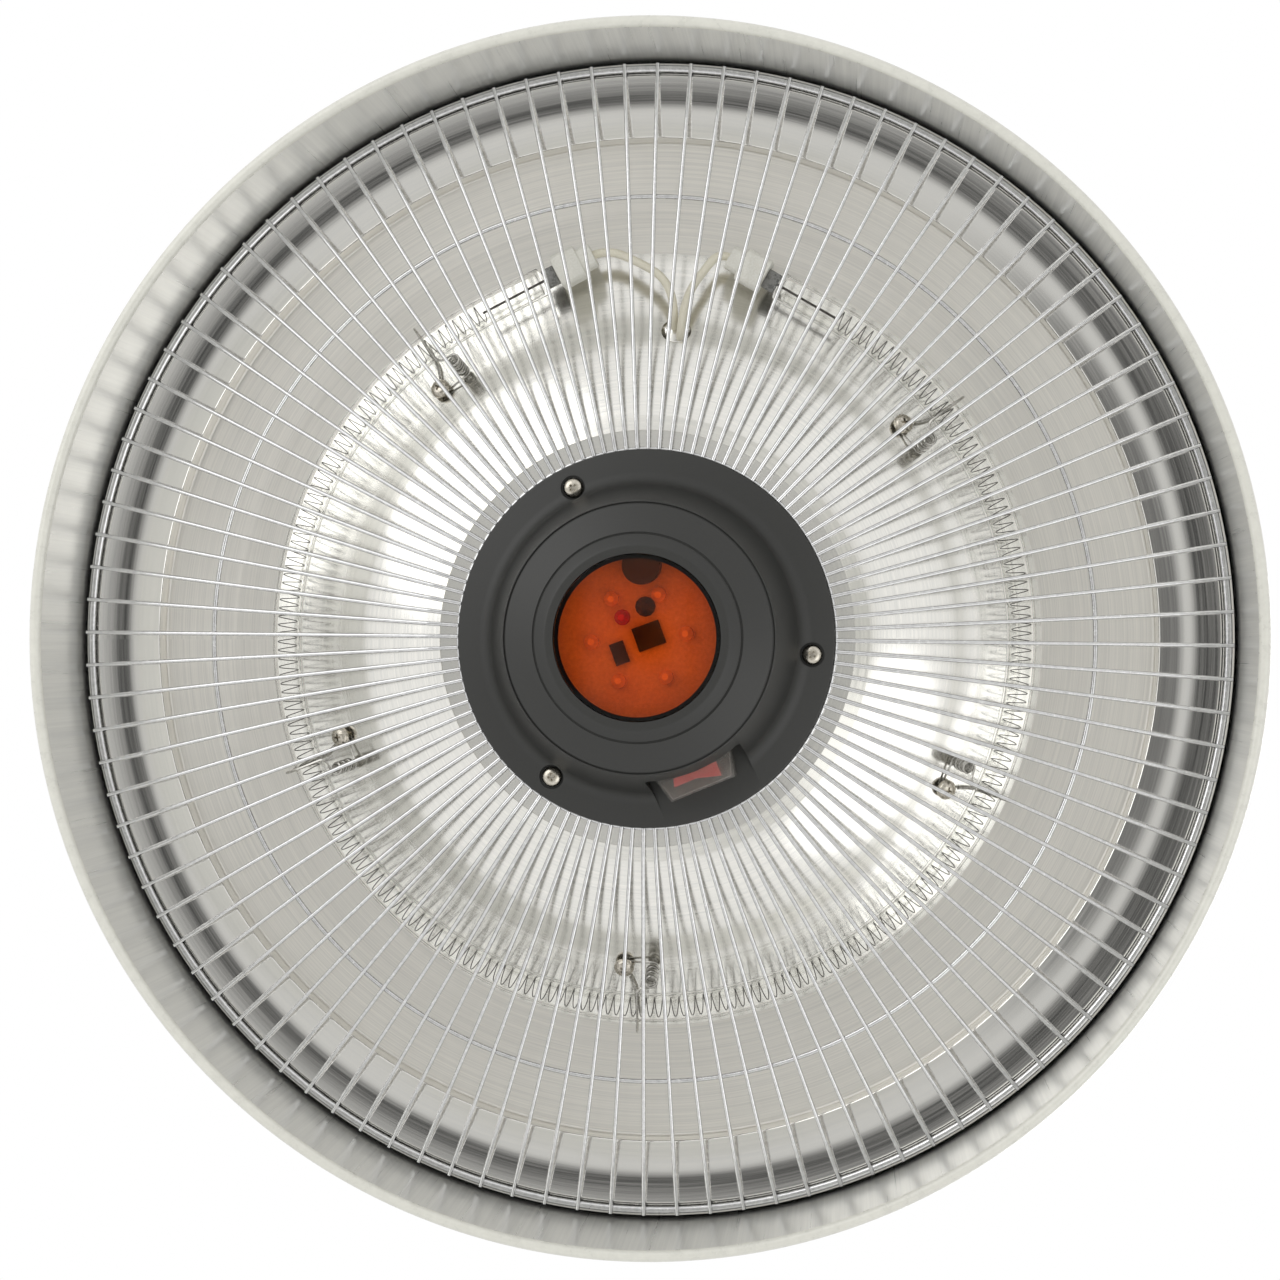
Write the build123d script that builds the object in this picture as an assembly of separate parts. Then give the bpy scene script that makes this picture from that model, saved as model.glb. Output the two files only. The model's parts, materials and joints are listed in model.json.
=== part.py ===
from build123d import *
import os
from math import asin, atan2, cos, degrees, hypot, pi, radians, sin, sqrt, tan

# Ceiling infrared heater: a spun shade with a ring lamp over a bright stepped reflector,
# behind a radial wire guard, round a black hub with a lens and a booted rocker switch.
# Millimetres. While building, z = 0 is the plane of the shade's rim and +Z points up
# to the ceiling, so everything below the rim has a negative height. At export the part
# is lowered so that the centre of the hanging eye is the origin.

EYE_HEIGHT = 187.0            # centre of the hanging eye above the rim

# Shade: one spun shell, from the rolled bead up to the flat top
RIM_RADIUS = 212.5
BEAD_RADIUS = 2.0
SHADE_WALL = 1.0
SKIRT_TOP_RADIUS = 206.0      # outside, at the top of the skirt
SKIRT_HEIGHT = 57.0
SHOULDER_RADIUS = 187.0
SHOULDER_HEIGHT = 82.0
SHOULDER_FILLET = 26.0
CROWN_RADIUS = 112.0
CROWN_HEIGHT = 110.0
SHADE_TOP_RADIUS = 78.0
SHADE_TOP_HEIGHT = 117.0

# Reflector pan: height of its flats and the slopes of its hill, seen from below
PAN_WALL = 0.8
HILL_HEIGHT = 29.5
HILL_RADIUS = 75.2
UPPER_SLOPE = 14.0
STEEP_SLOPE = 34.0
LOWER_SLOPE = 10.0
UPPER_SWEEP = 104.0
LOWER_SWEEP = 75.0
STEP_RADIUS = 177.2
STEP_DEPTH = 5.7
STEP_RUN = 1.1
BAND_RADIUS = 200.0
BAND_RISE = 3.9
BAND_BELLY = 1.2
REBATE_DEPTH = 2.3
REBATE_WIDTH = 4.5

# Guard: three ring wires and the bent radial wires welded under them
WIRE_COUNT = 108
WIRE_PHASE = 0.7              # degrees, where the first radial wire lies
RADIAL_WIRE = 1.45
OUTER_RING_WIRE = 2.8
MIDDLE_RING_WIRE = 1.7
INNER_RING_WIRE = 1.6
OUTER_RING_RADIUS = 202.3
MIDDLE_RING_RADIUS = 156.0
INNER_RING_RADIUS = 66.2
WIRE_BEND_RADIUS = 77.0       # distance from the axis where each wire bends
WIRE_TIP = 0.35               # how far a wire runs past the outer ring
WELD_GAP = 0.02
SEAT_GAP = 0.05

# Lamp: quartz ring with straight ends, wound filament, pinches and ceramic caps
LAMP_RADIUS = 130.5
LAMP_HEIGHT = 45.0
TUBE_RADIUS = 5.2
TUBE_WALL = 1.0
FILAMENT_RADIUS = 3.6
LAMP_START = 300.5            # degrees, where the ring turns into its straight end
LAMP_SWEEP = 302.3
TUBE_STRAIGHT = 24.6
PINCH_LENGTH = 5.0
PINCH_WIDTH = 7.0
PINCH_THICKNESS = 3.0
CAP_BODY = (9.4, 12.0, 10.4)
CAP_NECK = (5.2, 8.6, 8.0)
CAP_CHAMFER = 1.2
LEAD_RADIUS = 1.5
LEAD_HOLE = 5.3
LEAD_HOLE_ANGLE = 274.8
LEAD_HOLE_AT = 109.4

# Tube clips: one bent wire each, coiled beside its screw
CLIP_ANGLES = (24.4, 92.1, 160.0, 232.4, 322.3)
CLIP_SIDES = (1, 1, 1, -1, -1)    # which side of the coil the screw stands on
CLIP_WIRE = 0.9
CLIP_COIL_RADIUS = 1.95
CLIP_PITCH = 1.5
CLIP_HALF_TURNS = 13
CLIP_AT = 115.6
CLIP_SCREW_OFFSET = 10.3
CLIP_CENTRE_SHIFT = 5.0       # the coil stands this far before the clip's mean angle
CLIP_LEG = 9.6
CLIP_SEAT_GAP = 0.3

# Fasteners: radius and height of the head, radius of the shank
CLIP_SCREW = (3.5, 2.4, 1.3)
HUB_SCREW = (3.5, 2.4, 2.0)
POST_SCREW = (3.6, 2.5, 2.0)
CAP_SCREW = (3.5, 2.4, 2.0)
BOARD_SCREW = (2.5, 1.8, 1.2)
HOLE_CLEARANCE = 0.2
NUT_WIDTH = 7.0
CLIP_NUT_WIDTH = 5.5
CLIP_NUT_GAP = 0.15
NUT_HEIGHT = 3.0

# Hub: moulded cover, gasket, lens, board and switch
HUB_RADIUS = 65.9
HUB_EDGE_HEIGHT = 25.4
HUB_WALL = 2.3
HUB_FRONT = -7.8
HUB_BEZEL = 31.5
HUB_FOOT = 28.4
HUB_REBATE = 65.0
HUB_REBATE_HEIGHT = 27.6
HUB_INNER = 52.0
NECK_RADIUS = 46.8            # where the domed front meets the steep wall
NECK_HEIGHT = 0.0
FOOT_RADIUS = 54.2            # where the steep wall meets the flange
FOOT_HEIGHT = 23.2
FOOT_FILLET = 7.0
GROOVES = (46.1, 35.6)
GROOVE_WIDTH = 0.7
GROOVE_DEPTH = 0.7
HUB_SCREW_AT = 58.3
HUB_SCREW_ANGLES = (244.3, 5.6, 124.2)
POCKET_RADIUS = 4.3
POCKET_FLOOR = 25.9
GASKET_INNER = 53.0
GASKET_OUTER = 64.6
LENS_RADIUS = 28.5
LENS_THICKNESS = 2.0
LENS_INSET = 0.3
LENS_LEDGE = 1.6
BOARD_RADIUS = 37.5
BOARD_THICKNESS = 1.6
BOARD_HEIGHT = 4.0
BOSS_AT = 34.0
BOSS_RADIUS = 3.0
BOSS_ANGLES = (15.0, 135.0, 255.0)
LED_AT = 16.0
LED_COUNT = 6
LED_PHASE = -5.0
LED_RADIUS = 2.5
LED_LENGTH = 6.4
STATUS_LED_AT = (-5.7, -6.9)
RECEIVER_AT = (2.0, -10.5)
RECEIVER_RADIUS = 3.2
RECEIVER_LENGTH = 5.0
BUZZER_AT = (1.0, -24.4)
BUZZER_RADIUS = 6.5
BUZZER_LENGTH = 6.0
CHIP_AT = (3.2, -0.7)
CHIP_SIZE = (9.5, 8.2, 1.6)
RESISTOR_AT = (-6.6, 5.1)
RESISTOR_SIZE = (4.8, 7.5, 2.0)
BOARD_TURN = -20.0

# Switch: a flat in the hub's wall carries the boot's lip, the bezel and the rocker
SWITCH_ANGLE = 67.7
SWITCH_FLAT = 46.4            # distance of the flat from the axis
SWITCH_TOP = 7.6
SWITCH_BOTTOM = 24.4
RECESS_HALF = 17.6
PANEL = 2.5
BOOT_BASE = (28.0, 16.2)
BOOT_FACE = (23.4, 14.4)
BOOT_HEIGHT = 9.6
BOOT_WALL = 0.7
BOOT_LIP = 0.6
BEZEL = (21.4, 14.2)
BEZEL_HEIGHT = 1.8
SWITCH_BODY = (19.2, 12.8)
SWITCH_DEPTH = 13.5
WELL = (17.2, 10.6)
WELL_DEPTH = 5.8
BODY_CLEARANCE = 0.15
PIVOT_HEIGHT = 1.3
PIVOT_RADIUS = 1.2
PIVOT_CLEARANCE = 0.05
PIVOT_LENGTH = 0.8
ROCKER_WIDTH = 10.2
ROCKER_HALF = 8.3
ROCKER_CREST = 5.2
ROCKER_VALLEY = 4.05
ROCKER_KEEL = 5.2
ROCKER_TILT = 8.0
TAB = (0.8, 4.8, 7.0)
TAB_SPACING = 7.0

# Behind the reflector: posts, wires and bushes
POST_RADIUS = 4.0
POST_AT = 30.0
POST_ANGLES = (90.0, 210.0, 330.0)
HUB_BUSH_BORE = 4.0
HUB_BUSH_HOLE = 8.0
HUB_BUSH_FLANGE = 10.5
SHADE_BUSH_BORE = 7.0
SHADE_BUSH_HOLE = 9.0
SHADE_BUSH_FLANGE = 10.8
SHADE_BUSH_Y = -25.0
BUSH_LIP = 1.2
LOOM_RADIUS = 2.5

# Top: cap, gland, terminals, power board and hanging eye
CAP_RADIUS = 62.0
CAP_TOP_RADIUS = 57.0
CAP_FLANGE_RADIUS = 71.0
CAP_FLANGE = 3.0
CAP_HEIGHT = 41.0
CAP_WALL = 2.2
CAP_SHOULDER = 11.0
CAP_GASKET = 1.0
CAP_SCREW_AT = 66.8
CAP_SCREW_ANGLES = (60.0, 180.0, 300.0)
EYE_HOLE = 9.0
EYE_RADIUS = 15.5
EYE_THICKNESS = 7.0
EYE_COLLAR = 8.0
SHANK_RADIUS = 4.0
SHANK_CLEARANCE = 0.3
WASHER_RADIUS = 10.0
WASHER_HEIGHT = 1.6
EYE_NUT_WIDTH = 13.0
EYE_NUT_HEIGHT = 6.5
GLAND_HEIGHT = 20.0           # of the gland's axis above the shade's top
GLAND_PAD_AT = 67.0
GLAND_PAD_RADIUS = 15.5
GLAND_PANEL = 3.0
GLAND_POCKET = 20.0
GLAND_THREAD = 8.0
GLAND_BORE = 4.2               # one bore for the cable through body, seal and nut
GLAND_SEAL_RADIUS = 6.2
GLAND_SEAL_LENGTH = 9.0
GLAND_HEX = 20.0
GLAND_HEX_LENGTH = 5.0
GLAND_NUT_RADIUS = 10.0
GLAND_NUT_LENGTH = 14.0
GLAND_LOCK = 4.0
GLAND_INSIDE = 9.0
TERMINAL_SIZE = (28.0, 13.0, 13.0)
TERMINAL_FACE_Y = -41.0
TERMINAL_HOLE_DEPTH = 3.0
TERMINAL_PITCH = 9.0
TERMINAL_ENTRY = 6.0
TERMINAL_SCREW_RADIUS = 2.0
POWER_BOARD = (56.0, 24.0, 1.6)
POWER_BOARD_Y = 38.0
POWER_STAND = 9.0
RELAY = (19.0, 15.5, 15.5)

parts = {}


def offset_corners(corners, distance):
    """Corners of the same open line moved to its left by the distance, mitred."""
    moved = []
    last = len(corners) - 1
    for i, (x, y) in enumerate(corners):
        before = corners[max(i - 1, 0)], corners[max(i, 1)]
        after = corners[min(i, last - 1)], corners[min(i + 1, last)]
        turns = [atan2(b[1] - a[1], b[0] - a[0]) for a, b in (before, after)]
        middle = (turns[0] + turns[1]) / 2
        if abs(turns[0] - turns[1]) > pi:
            middle += pi
        reach = distance / cos(middle - turns[0])
        moved.append((x - reach * sin(middle), y + reach * cos(middle)))
    return moved


def turning(corners, i):
    """Positive where the line turns left at corner i."""
    (ax, ay), (bx, by), (cx, cy) = corners[i - 1], corners[i], corners[i + 1]
    return (bx - ax) * (cy - by) - (by - ay) * (cx - bx)


def ring(outline):
    """Solid of revolution of a closed (radius, height) outline."""
    return revolve(Plane.XZ * make_face(outline), Axis.Z)


def spun(corners, fillets, wall):
    """Spun shell: an open line of (radius, height) corners with a wall on its left."""
    far = offset_corners(corners, wall)
    radii = [0.0, *fillets, 0.0]
    far_radii = [
        max(r - wall, 0.0) if r and turning(corners, i) > 0 else (r + wall if r else 0.0)
        for i, r in enumerate(radii)
        if 0 < i < len(radii) - 1
    ]
    outline = FilletPolyline(
        corners + far[::-1],
        radius=[*radii, 0.0, *far_radii[::-1], 0.0],
        close=True,
    )
    return ring(outline)


def at(radius, angle, height=0.0):
    """Location on a circle round the heater's axis, its X axis pointing outwards."""
    return Location(
        (radius * cos(radians(angle)), radius * sin(radians(angle)), height),
        (0, 0, angle),
    )


def tube(inner, outer, low, high):
    """Round tube on the axis between two heights."""
    solid = Pos(0, 0, (low + high) / 2) * Cylinder(outer, high - low)
    return solid - Pos(0, 0, (low + high) / 2) * Cylinder(inner, high - low + 1)


def prism(radius, low, high, sides=12):
    """Small round bar with flat sides, between two heights."""
    return Pos(0, 0, low) * extrude(RegularPolygon(radius, sides), high - low)


def pan_head_screw(size, length, up=True):
    """Screw whose head rests under z = 0 with its shank going up, or the other way."""
    head_radius, head_height, shank_radius = size
    edge = 0.45 * head_height
    crown = loft([Pos(0, 0, -head_height) * RegularPolygon(0.55 * head_radius, 12),
                  Pos(0, 0, -edge) * RegularPolygon(head_radius, 12)])
    screw = crown + prism(head_radius, -edge, 0) + prism(shank_radius, 0, length, 6)
    return screw if up else Rot(180, 0, 0) * screw


def hex_nut(width, height, hole):
    """Hexagon nut standing on z = 0."""
    sketch = (RegularPolygon(width / 2, 6, major_radius=False)
              - RegularPolygon(hole, 8, major_radius=False))
    return extrude(sketch, height)


def route_radii(points, smallest):
    """Arc radius for each inner point of a route, as large as its two runs allow."""
    radii = []
    for a, b, c in zip(points, points[1:], points[2:]):
        a, b, c = Vector(a), Vector(b), Vector(c)
        half = radians((b - a).get_angle(c - b)) / 2
        shorter = min((b - a).length, (c - b).length)
        radii.append(max(0.45 * shorter / tan(half), smallest))
    return radii


def lead(name, points, radius):
    """Round lead along straight runs joined by tangent arcs, printed with its radii."""
    radii = route_radii(points, 1.2 * radius)
    path = FilletPolyline(points, radius=radii)
    section = Plane(path @ 0, z_dir=path % 0) * RegularPolygon(radius, 6)
    solid = sweep(section, path)
    share = solid.volume / (section.area * path.length)
    print(name, "length", round(path.length, 1), "radii", [round(r, 1) for r in radii],
          "volume over section times length", round(share, 4))
    return solid


def slope_point(radius):
    """Height and slope angle of the reflector's lower sweep at a distance from the axis."""
    slope = asin((sweep_centre[0] - radius) / LOWER_SWEEP)
    return sweep_centre[1] + LOWER_SWEEP * cos(slope), slope


def biarc(start, heading, end, last_heading):
    """Two tangent arcs from one point and heading to another."""
    way = end - start
    both = heading + last_heading
    square = 2 * (1 - heading.dot(last_heading))
    reach = (-way.dot(both) + sqrt(way.dot(both) ** 2 + square * way.dot(way))) / square
    joint = (start + end + (heading - last_heading) * reach) / 2
    first = Edge.make_tangent_arc(start, heading, joint)
    return [first, Edge.make_tangent_arc(joint, first % 1, end)]


# Shade
skirt_base = (RIM_RADIUS - BEAD_RADIUS + SHADE_WALL / 2, BEAD_RADIUS)
shade_corners = [
    skirt_base,
    (SKIRT_TOP_RADIUS, SKIRT_HEIGHT),
    (SHOULDER_RADIUS, SHOULDER_HEIGHT),
    (CROWN_RADIUS, CROWN_HEIGHT),
    (SHADE_TOP_RADIUS, SHADE_TOP_HEIGHT),
    (SHANK_RADIUS + SHANK_CLEARANCE, SHADE_TOP_HEIGHT),
]
shade = spun(shade_corners, [SHOULDER_FILLET, SHOULDER_FILLET, 0.0, 0.0], SHADE_WALL)
bead_at = (RIM_RADIUS - BEAD_RADIUS, BEAD_RADIUS)
shade += revolve(Plane.XZ * (Pos(*bead_at) * RegularPolygon(BEAD_RADIUS, 8)), Axis.Z)
shade -= Pos(0, SHADE_BUSH_Y, SHADE_TOP_HEIGHT) * Cylinder(SHADE_BUSH_HOLE, 6)
for angle in POST_ANGLES:
    shade -= at(POST_AT, angle, SHADE_TOP_HEIGHT) * Cylinder(POST_SCREW[2] + HOLE_CLEARANCE, 6)
for angle in CAP_SCREW_ANGLES:
    shade -= at(CAP_SCREW_AT, angle, SHADE_TOP_HEIGHT) * Cylinder(CAP_SCREW[2] + HOLE_CLEARANCE, 6)
parts["outer_shade"] = shade
shade_under = SHADE_TOP_HEIGHT - SHADE_WALL

# Reflector pan: the hill's two sweeps are fillets between straight slopes
upper, steep, lower = (radians(a) for a in (UPPER_SLOPE, STEEP_SLOPE, LOWER_SLOPE))
upper_run = UPPER_SWEEP * tan((steep - upper) / 2)
lower_run = LOWER_SWEEP * tan((steep - lower) / 2)
hill_corner = (
    HILL_RADIUS + (upper_run + 0.3) * cos(upper),
    HILL_HEIGHT + (upper_run + 0.3) * sin(upper),
)
foot_corner = (
    hill_corner[0] + (upper_run + lower_run) * cos(steep),
    hill_corner[1] + (upper_run + lower_run) * sin(steep),
)
floor_radius = foot_corner[0] + lower_run * cos(lower)
floor_height = foot_corner[1] + lower_run * sin(lower)
sweep_centre = (
    foot_corner[0] - lower_run * cos(steep) + LOWER_SWEEP * sin(steep),
    foot_corner[1] - lower_run * sin(steep) - LOWER_SWEEP * cos(steep),
)
step_height = floor_height - STEP_DEPTH
band_height = step_height - BAND_RISE
rebate_height = band_height + REBATE_DEPTH
band_middle = (STEP_RADIUS + STEP_RUN + BAND_RADIUS) / 2
pan_corners = [
    (HUB_BUSH_HOLE, HILL_HEIGHT),
    (HILL_RADIUS, HILL_HEIGHT),
    hill_corner,
    foot_corner,
    (floor_radius + 0.5, floor_height),
    (STEP_RADIUS, floor_height),
    (STEP_RADIUS + STEP_RUN, step_height),
    (band_middle, (step_height + band_height) / 2 - BAND_BELLY / 2),
    (BAND_RADIUS, band_height),
    (BAND_RADIUS + 0.2, rebate_height),
    (BAND_RADIUS + REBATE_WIDTH, rebate_height),
]
pan_fillets = [0.0, UPPER_SWEEP, LOWER_SWEEP] + 6 * [0.0]
pan = spun(pan_corners, pan_fillets, PAN_WALL)
lead_height, lead_slope = slope_point(LEAD_HOLE_AT)
pan -= (at(LEAD_HOLE_AT, LEAD_HOLE_ANGLE, lead_height)
        * Rot(0, -degrees(lead_slope), 0) * Cylinder(LEAD_HOLE, 8))
for angle in HUB_SCREW_ANGLES:
    pan -= at(HUB_SCREW_AT, angle, HILL_HEIGHT) * Cylinder(HUB_SCREW[2] + HOLE_CLEARANCE, 6)
for angle in POST_ANGLES:
    pan -= at(POST_AT, angle, HILL_HEIGHT) * Cylinder(POST_SCREW[2] + HOLE_CLEARANCE, 6)

# Tube clips: each has its own frame on the slope
clip_height, clip_slope = slope_point(CLIP_AT)
helix_rise = CLIP_PITCH / (2 * pi)
climb = atan2(helix_rise, CLIP_COIL_RADIUS)


def slope_frame(angle, radius):
    """Plane on the slope: X round the axis, Y down the slope, Z out of the reflector."""
    height, slope = slope_point(radius)
    down = Vector(cos(slope), 0, sin(slope)).rotate(Axis.Z, angle)
    out = Vector(sin(slope), 0, -cos(slope)).rotate(Axis.Z, angle)
    return Plane(at(radius, angle, height).position, x_dir=down.cross(out), z_dir=out)


def helix_at(turn):
    """Point and heading of the coil's centre line, measured down from its open end."""
    spot = Vector(-CLIP_COIL_RADIUS * sin(turn), CLIP_COIL_RADIUS * cos(turn),
                  coil_top - helix_rise * turn)
    heading = Vector(-cos(turn) * cos(climb), -sin(turn) * cos(climb), -sin(climb))
    return spot, heading


coil_foot = CLIP_WIRE / 2 + CLIP_SEAT_GAP + CLIP_LEG * sin(climb)
coil_top = coil_foot + CLIP_HALF_TURNS * CLIP_PITCH / 2


def clip_wire():
    """One clip in its own frame, for a screw on the +X side."""
    top, top_heading = helix_at(0)
    away = CLIP_WIRE / 2 + CLIP_SEAT_GAP

    def local(along, radius, height):
        down, rise = radius - CLIP_AT, height - clip_height
        return Vector(
            along,
            down * cos(clip_slope) + rise * sin(clip_slope),
            down * sin(clip_slope) - rise * cos(clip_slope),
        )

    tube_under = LAMP_HEIGHT + TUBE_RADIUS + away
    tube_over = LAMP_HEIGHT - TUBE_RADIUS - away
    outside = LAMP_RADIUS + TUBE_RADIUS + away + 2.6
    corner = top - top_heading * 5.0
    points = [
        local(8.6, CLIP_AT + 4.2, clip_height + 0.9),
        local(6.6, CLIP_AT + 9.0, tube_under - 0.4),
        local(6.3, LAMP_RADIUS + 3.0, tube_under),
        local(5.9, outside, LAMP_HEIGHT + 3.4),
        local(5.4, outside, LAMP_HEIGHT - 3.4),
        local(5.1, LAMP_RADIUS + 2.0, tube_over),
        corner,
    ]
    points.append(top)
    legs = FilletPolyline(points, radius=route_radii(points, 0.8))
    edges = list(legs.edges())
    spot, heading = top, top_heading
    for half in range(CLIP_HALF_TURNS):
        end, last_heading = helix_at(pi * (half + 1))
        edges += biarc(spot, heading, end, last_heading)
        spot, heading = end, last_heading
    edges.append(Edge.make_line(spot, spot + heading * CLIP_LEG))
    path = Wire(edges)
    start = Plane(points[0], z_dir=points[1] - points[0])
    section = start * RegularPolygon(CLIP_WIRE / 2, 4)
    return sweep(section, path)


print("clip coil gap between turns", round(CLIP_PITCH * cos(climb) - CLIP_WIRE, 2))
right_clip = clip_wire()
clip_hands = {1: right_clip, -1: mirror(right_clip, Plane.YZ)}
clips, clip_screws, clip_nuts = [], [], []
screw_side = CLIP_WIRE / 2 + CLIP_SCREW[2] + 0.15 - CLIP_COIL_RADIUS
head_lift = CLIP_WIRE + 2.5 * CLIP_SEAT_GAP
for angle, side in zip(CLIP_ANGLES, CLIP_SIDES):
    frame = slope_frame(angle - side * degrees(CLIP_CENTRE_SHIFT / CLIP_AT), CLIP_AT)
    clips.append(frame.location * clip_hands[side])
    spot = frame.from_local_coords((side * CLIP_SCREW_OFFSET, screw_side, 0))
    seat = slope_frame(degrees(atan2(spot.Y, spot.X)), hypot(spot.X, spot.Y)).location
    clip_screws.append(seat * Pos(0, 0, head_lift) * pan_head_screw(CLIP_SCREW, 8.0, up=False))
    clip_nuts.append(seat * Pos(0, 0, -PAN_WALL - CLIP_NUT_GAP - NUT_HEIGHT)
                     * hex_nut(CLIP_NUT_WIDTH, NUT_HEIGHT, CLIP_SCREW[2] + 0.05))
    pan -= seat * Cylinder(CLIP_SCREW[2] + HOLE_CLEARANCE, 8)
parts["reflector_pan"] = pan
parts["tube_clips"] = Compound(clips)
parts["clip_screws"] = Compound(clip_screws)
parts["clip_nuts"] = Compound(clip_nuts)

# Guard: radial wires run under the rings, flat over the hill and then sloping up
ring_seat = HILL_HEIGHT - INNER_RING_WIRE / 2 - SEAT_GAP
wire_flat = ring_seat - (INNER_RING_WIRE + RADIAL_WIRE) / 2 - WELD_GAP
outer_ring_height = rebate_height - OUTER_RING_WIRE / 2 - SEAT_GAP
wire_end_radius = OUTER_RING_RADIUS + OUTER_RING_WIRE / 2 + WIRE_TIP
wire_run = OUTER_RING_RADIUS - WIRE_BEND_RADIUS
weld_reach = (OUTER_RING_WIRE + RADIAL_WIRE) / 2 + WELD_GAP
wire_slope = (outer_ring_height - wire_flat - weld_reach) / wire_run
for _ in range(3):
    lean = sqrt(1 + wire_slope**2)
    wire_slope = (outer_ring_height - wire_flat - weld_reach * lean) / wire_run


def ring_on_wires(radius, diameter):
    """Ring wire that lies on the sloping stretch of the radial wires."""
    reach = ((diameter + RADIAL_WIRE) / 2 + WELD_GAP) * sqrt(1 + wire_slope**2)
    height = wire_flat + (radius - WIRE_BEND_RADIUS) * wire_slope + reach
    return ring_wire(radius, height, diameter)


def ring_wire(radius, height, diameter):
    """Ring of round wire at a radius and height."""
    section = Pos(radius, height) * RegularPolygon(diameter / 2, 6, rotation=30)
    return revolve(Plane.XZ * section, Axis.Z)


parts["guard_outer_ring"] = ring_on_wires(OUTER_RING_RADIUS, OUTER_RING_WIRE)
parts["guard_middle_ring"] = ring_on_wires(MIDDLE_RING_RADIUS, MIDDLE_RING_WIRE)
parts["guard_inner_ring"] = ring_wire(INNER_RING_RADIUS, ring_seat, INNER_RING_WIRE)

wire_path = Polyline(
    (HUB_RADIUS + SEAT_GAP * 6, 0, wire_flat),
    (WIRE_BEND_RADIUS, 0, wire_flat),
    (wire_end_radius, 0, wire_flat + (wire_end_radius - WIRE_BEND_RADIUS) * wire_slope),
)
wire_section = Plane(wire_path @ 0, z_dir=(1, 0, 0)) * RegularPolygon(RADIAL_WIRE / 2, 4)
one_wire = sweep(wire_section, wire_path, transition=Transition.RIGHT)
parts["guard_radial_wires"] = Compound(
    [Rot(0, 0, WIRE_PHASE + 360 * i / WIRE_COUNT) * one_wire for i in range(WIRE_COUNT)]
)

# Lamp: the ring is an arc whose ends run straight on, as the tube's pinched ends do


def lamp_path(extra):
    """Centre line of the tube, with straight ends of a length."""
    arc = CenterArc((0, 0), LAMP_RADIUS, LAMP_START, LAMP_SWEEP)
    first = Line((arc @ 0) - (arc % 0) * extra, arc @ 0)
    last = Line(arc @ 1, (arc @ 1) + (arc % 1) * extra)
    return Pos(0, 0, LAMP_HEIGHT) * Wire([*first.edges(), *arc.edges(), *last.edges()])


tube_line = lamp_path(TUBE_STRAIGHT)
tube_start = Plane(tube_line @ 0, z_dir=tube_line % 0)
tube_section = RegularPolygon(TUBE_RADIUS, 10) - RegularPolygon(TUBE_RADIUS - TUBE_WALL, 6)
parts["quartz_tube"] = sweep(tube_start * tube_section, tube_line)
core_arc = Pos(0, 0, LAMP_HEIGHT) * CenterArc((0, 0), LAMP_RADIUS, LAMP_START, LAMP_SWEEP)
core_start = Plane(core_arc @ 0, z_dir=core_arc % 0)
parts["filament"] = sweep(core_start * RegularPolygon(FILAMENT_RADIUS, 6), core_arc)


def lamp_end_frame(which):
    """Frame at a tube end, its Z axis running on away from the tube."""
    heading = (tube_line % 1) if which else (tube_line % 0) * -1
    spot = (tube_line @ 1) if which else (tube_line @ 0)
    return Plane(spot, x_dir=(0, 0, 1), z_dir=heading)


def lamp_cap():
    """Ceramic end cap: a body over the pinch and a narrower neck round the lead."""
    body_length, body_width, body_depth = CAP_BODY
    neck_length, neck_width, neck_depth = CAP_NECK
    body = Pos(0, 0, body_length / 2) * Box(body_depth, body_width, body_length)
    body = chamfer(body.edges().filter_by(Axis.Z), CAP_CHAMFER)
    neck = Pos(0, 0, body_length + neck_length / 2) * Box(neck_depth, neck_width, neck_length)
    neck = chamfer(neck.edges().filter_by(Axis.Z), CAP_CHAMFER)
    bore = Pos(0, 0, body_length + neck_length) * Cylinder(LEAD_RADIUS + 0.1, 4)
    return body + neck - bore


pinches = []
for which, name in enumerate(("lamp_cap_right", "lamp_cap_left")):
    end_frame = lamp_end_frame(which).location
    pinches.append(end_frame * Pos(0, 0, PINCH_LENGTH / 2)
                   * Box(PINCH_THICKNESS, PINCH_WIDTH, PINCH_LENGTH))
    parts[name] = end_frame * Pos(0, 0, PINCH_LENGTH) * lamp_cap()
parts["tube_pinches"] = Compound(pinches)

# Lamp leads: from the caps, over the slope, through its hole and up to the terminals
cap_reach = PINCH_LENGTH + CAP_BODY[0] + CAP_NECK[0] - 1.9
left_exit = (lamp_end_frame(1).location * Pos(0, 0, cap_reach)).position
left_way = lamp_end_frame(1).z_dir
right_exit = (lamp_end_frame(0).location * Pos(0, 0, cap_reach)).position
right_way = lamp_end_frame(0).z_dir
terminal_base = SHADE_TOP_HEIGHT + TERMINAL_ENTRY
lead_turn_y = TERMINAL_FACE_Y + 5.5
lead_stop_y = TERMINAL_FACE_Y - TERMINAL_HOLE_DEPTH + 0.5
left_points = [
    left_exit,
    left_exit + left_way * 7.0,
    (-2.5, -132.6, 44.3),
    (4.6, -127.9, 43.2),
    (7.9, -121.4, 41.6),
    (8.6, -115.2, 41.3),
    (8.3, -110.6, 45.4),
    (7.4, -106.8, 53.0),
    (5.0, -94.0, 64.0),
    (0.0, -62.0, 76.0),
    (-3.4, -34.0, 92.0),
    (-3.8, -26.2, 108.0),
    (-4.2, -26.8, 119.0),
    (-6.2, -30.4, 126.2),
    (-TERMINAL_PITCH, lead_turn_y, terminal_base),
    (-TERMINAL_PITCH, lead_stop_y, terminal_base),
]
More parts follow.
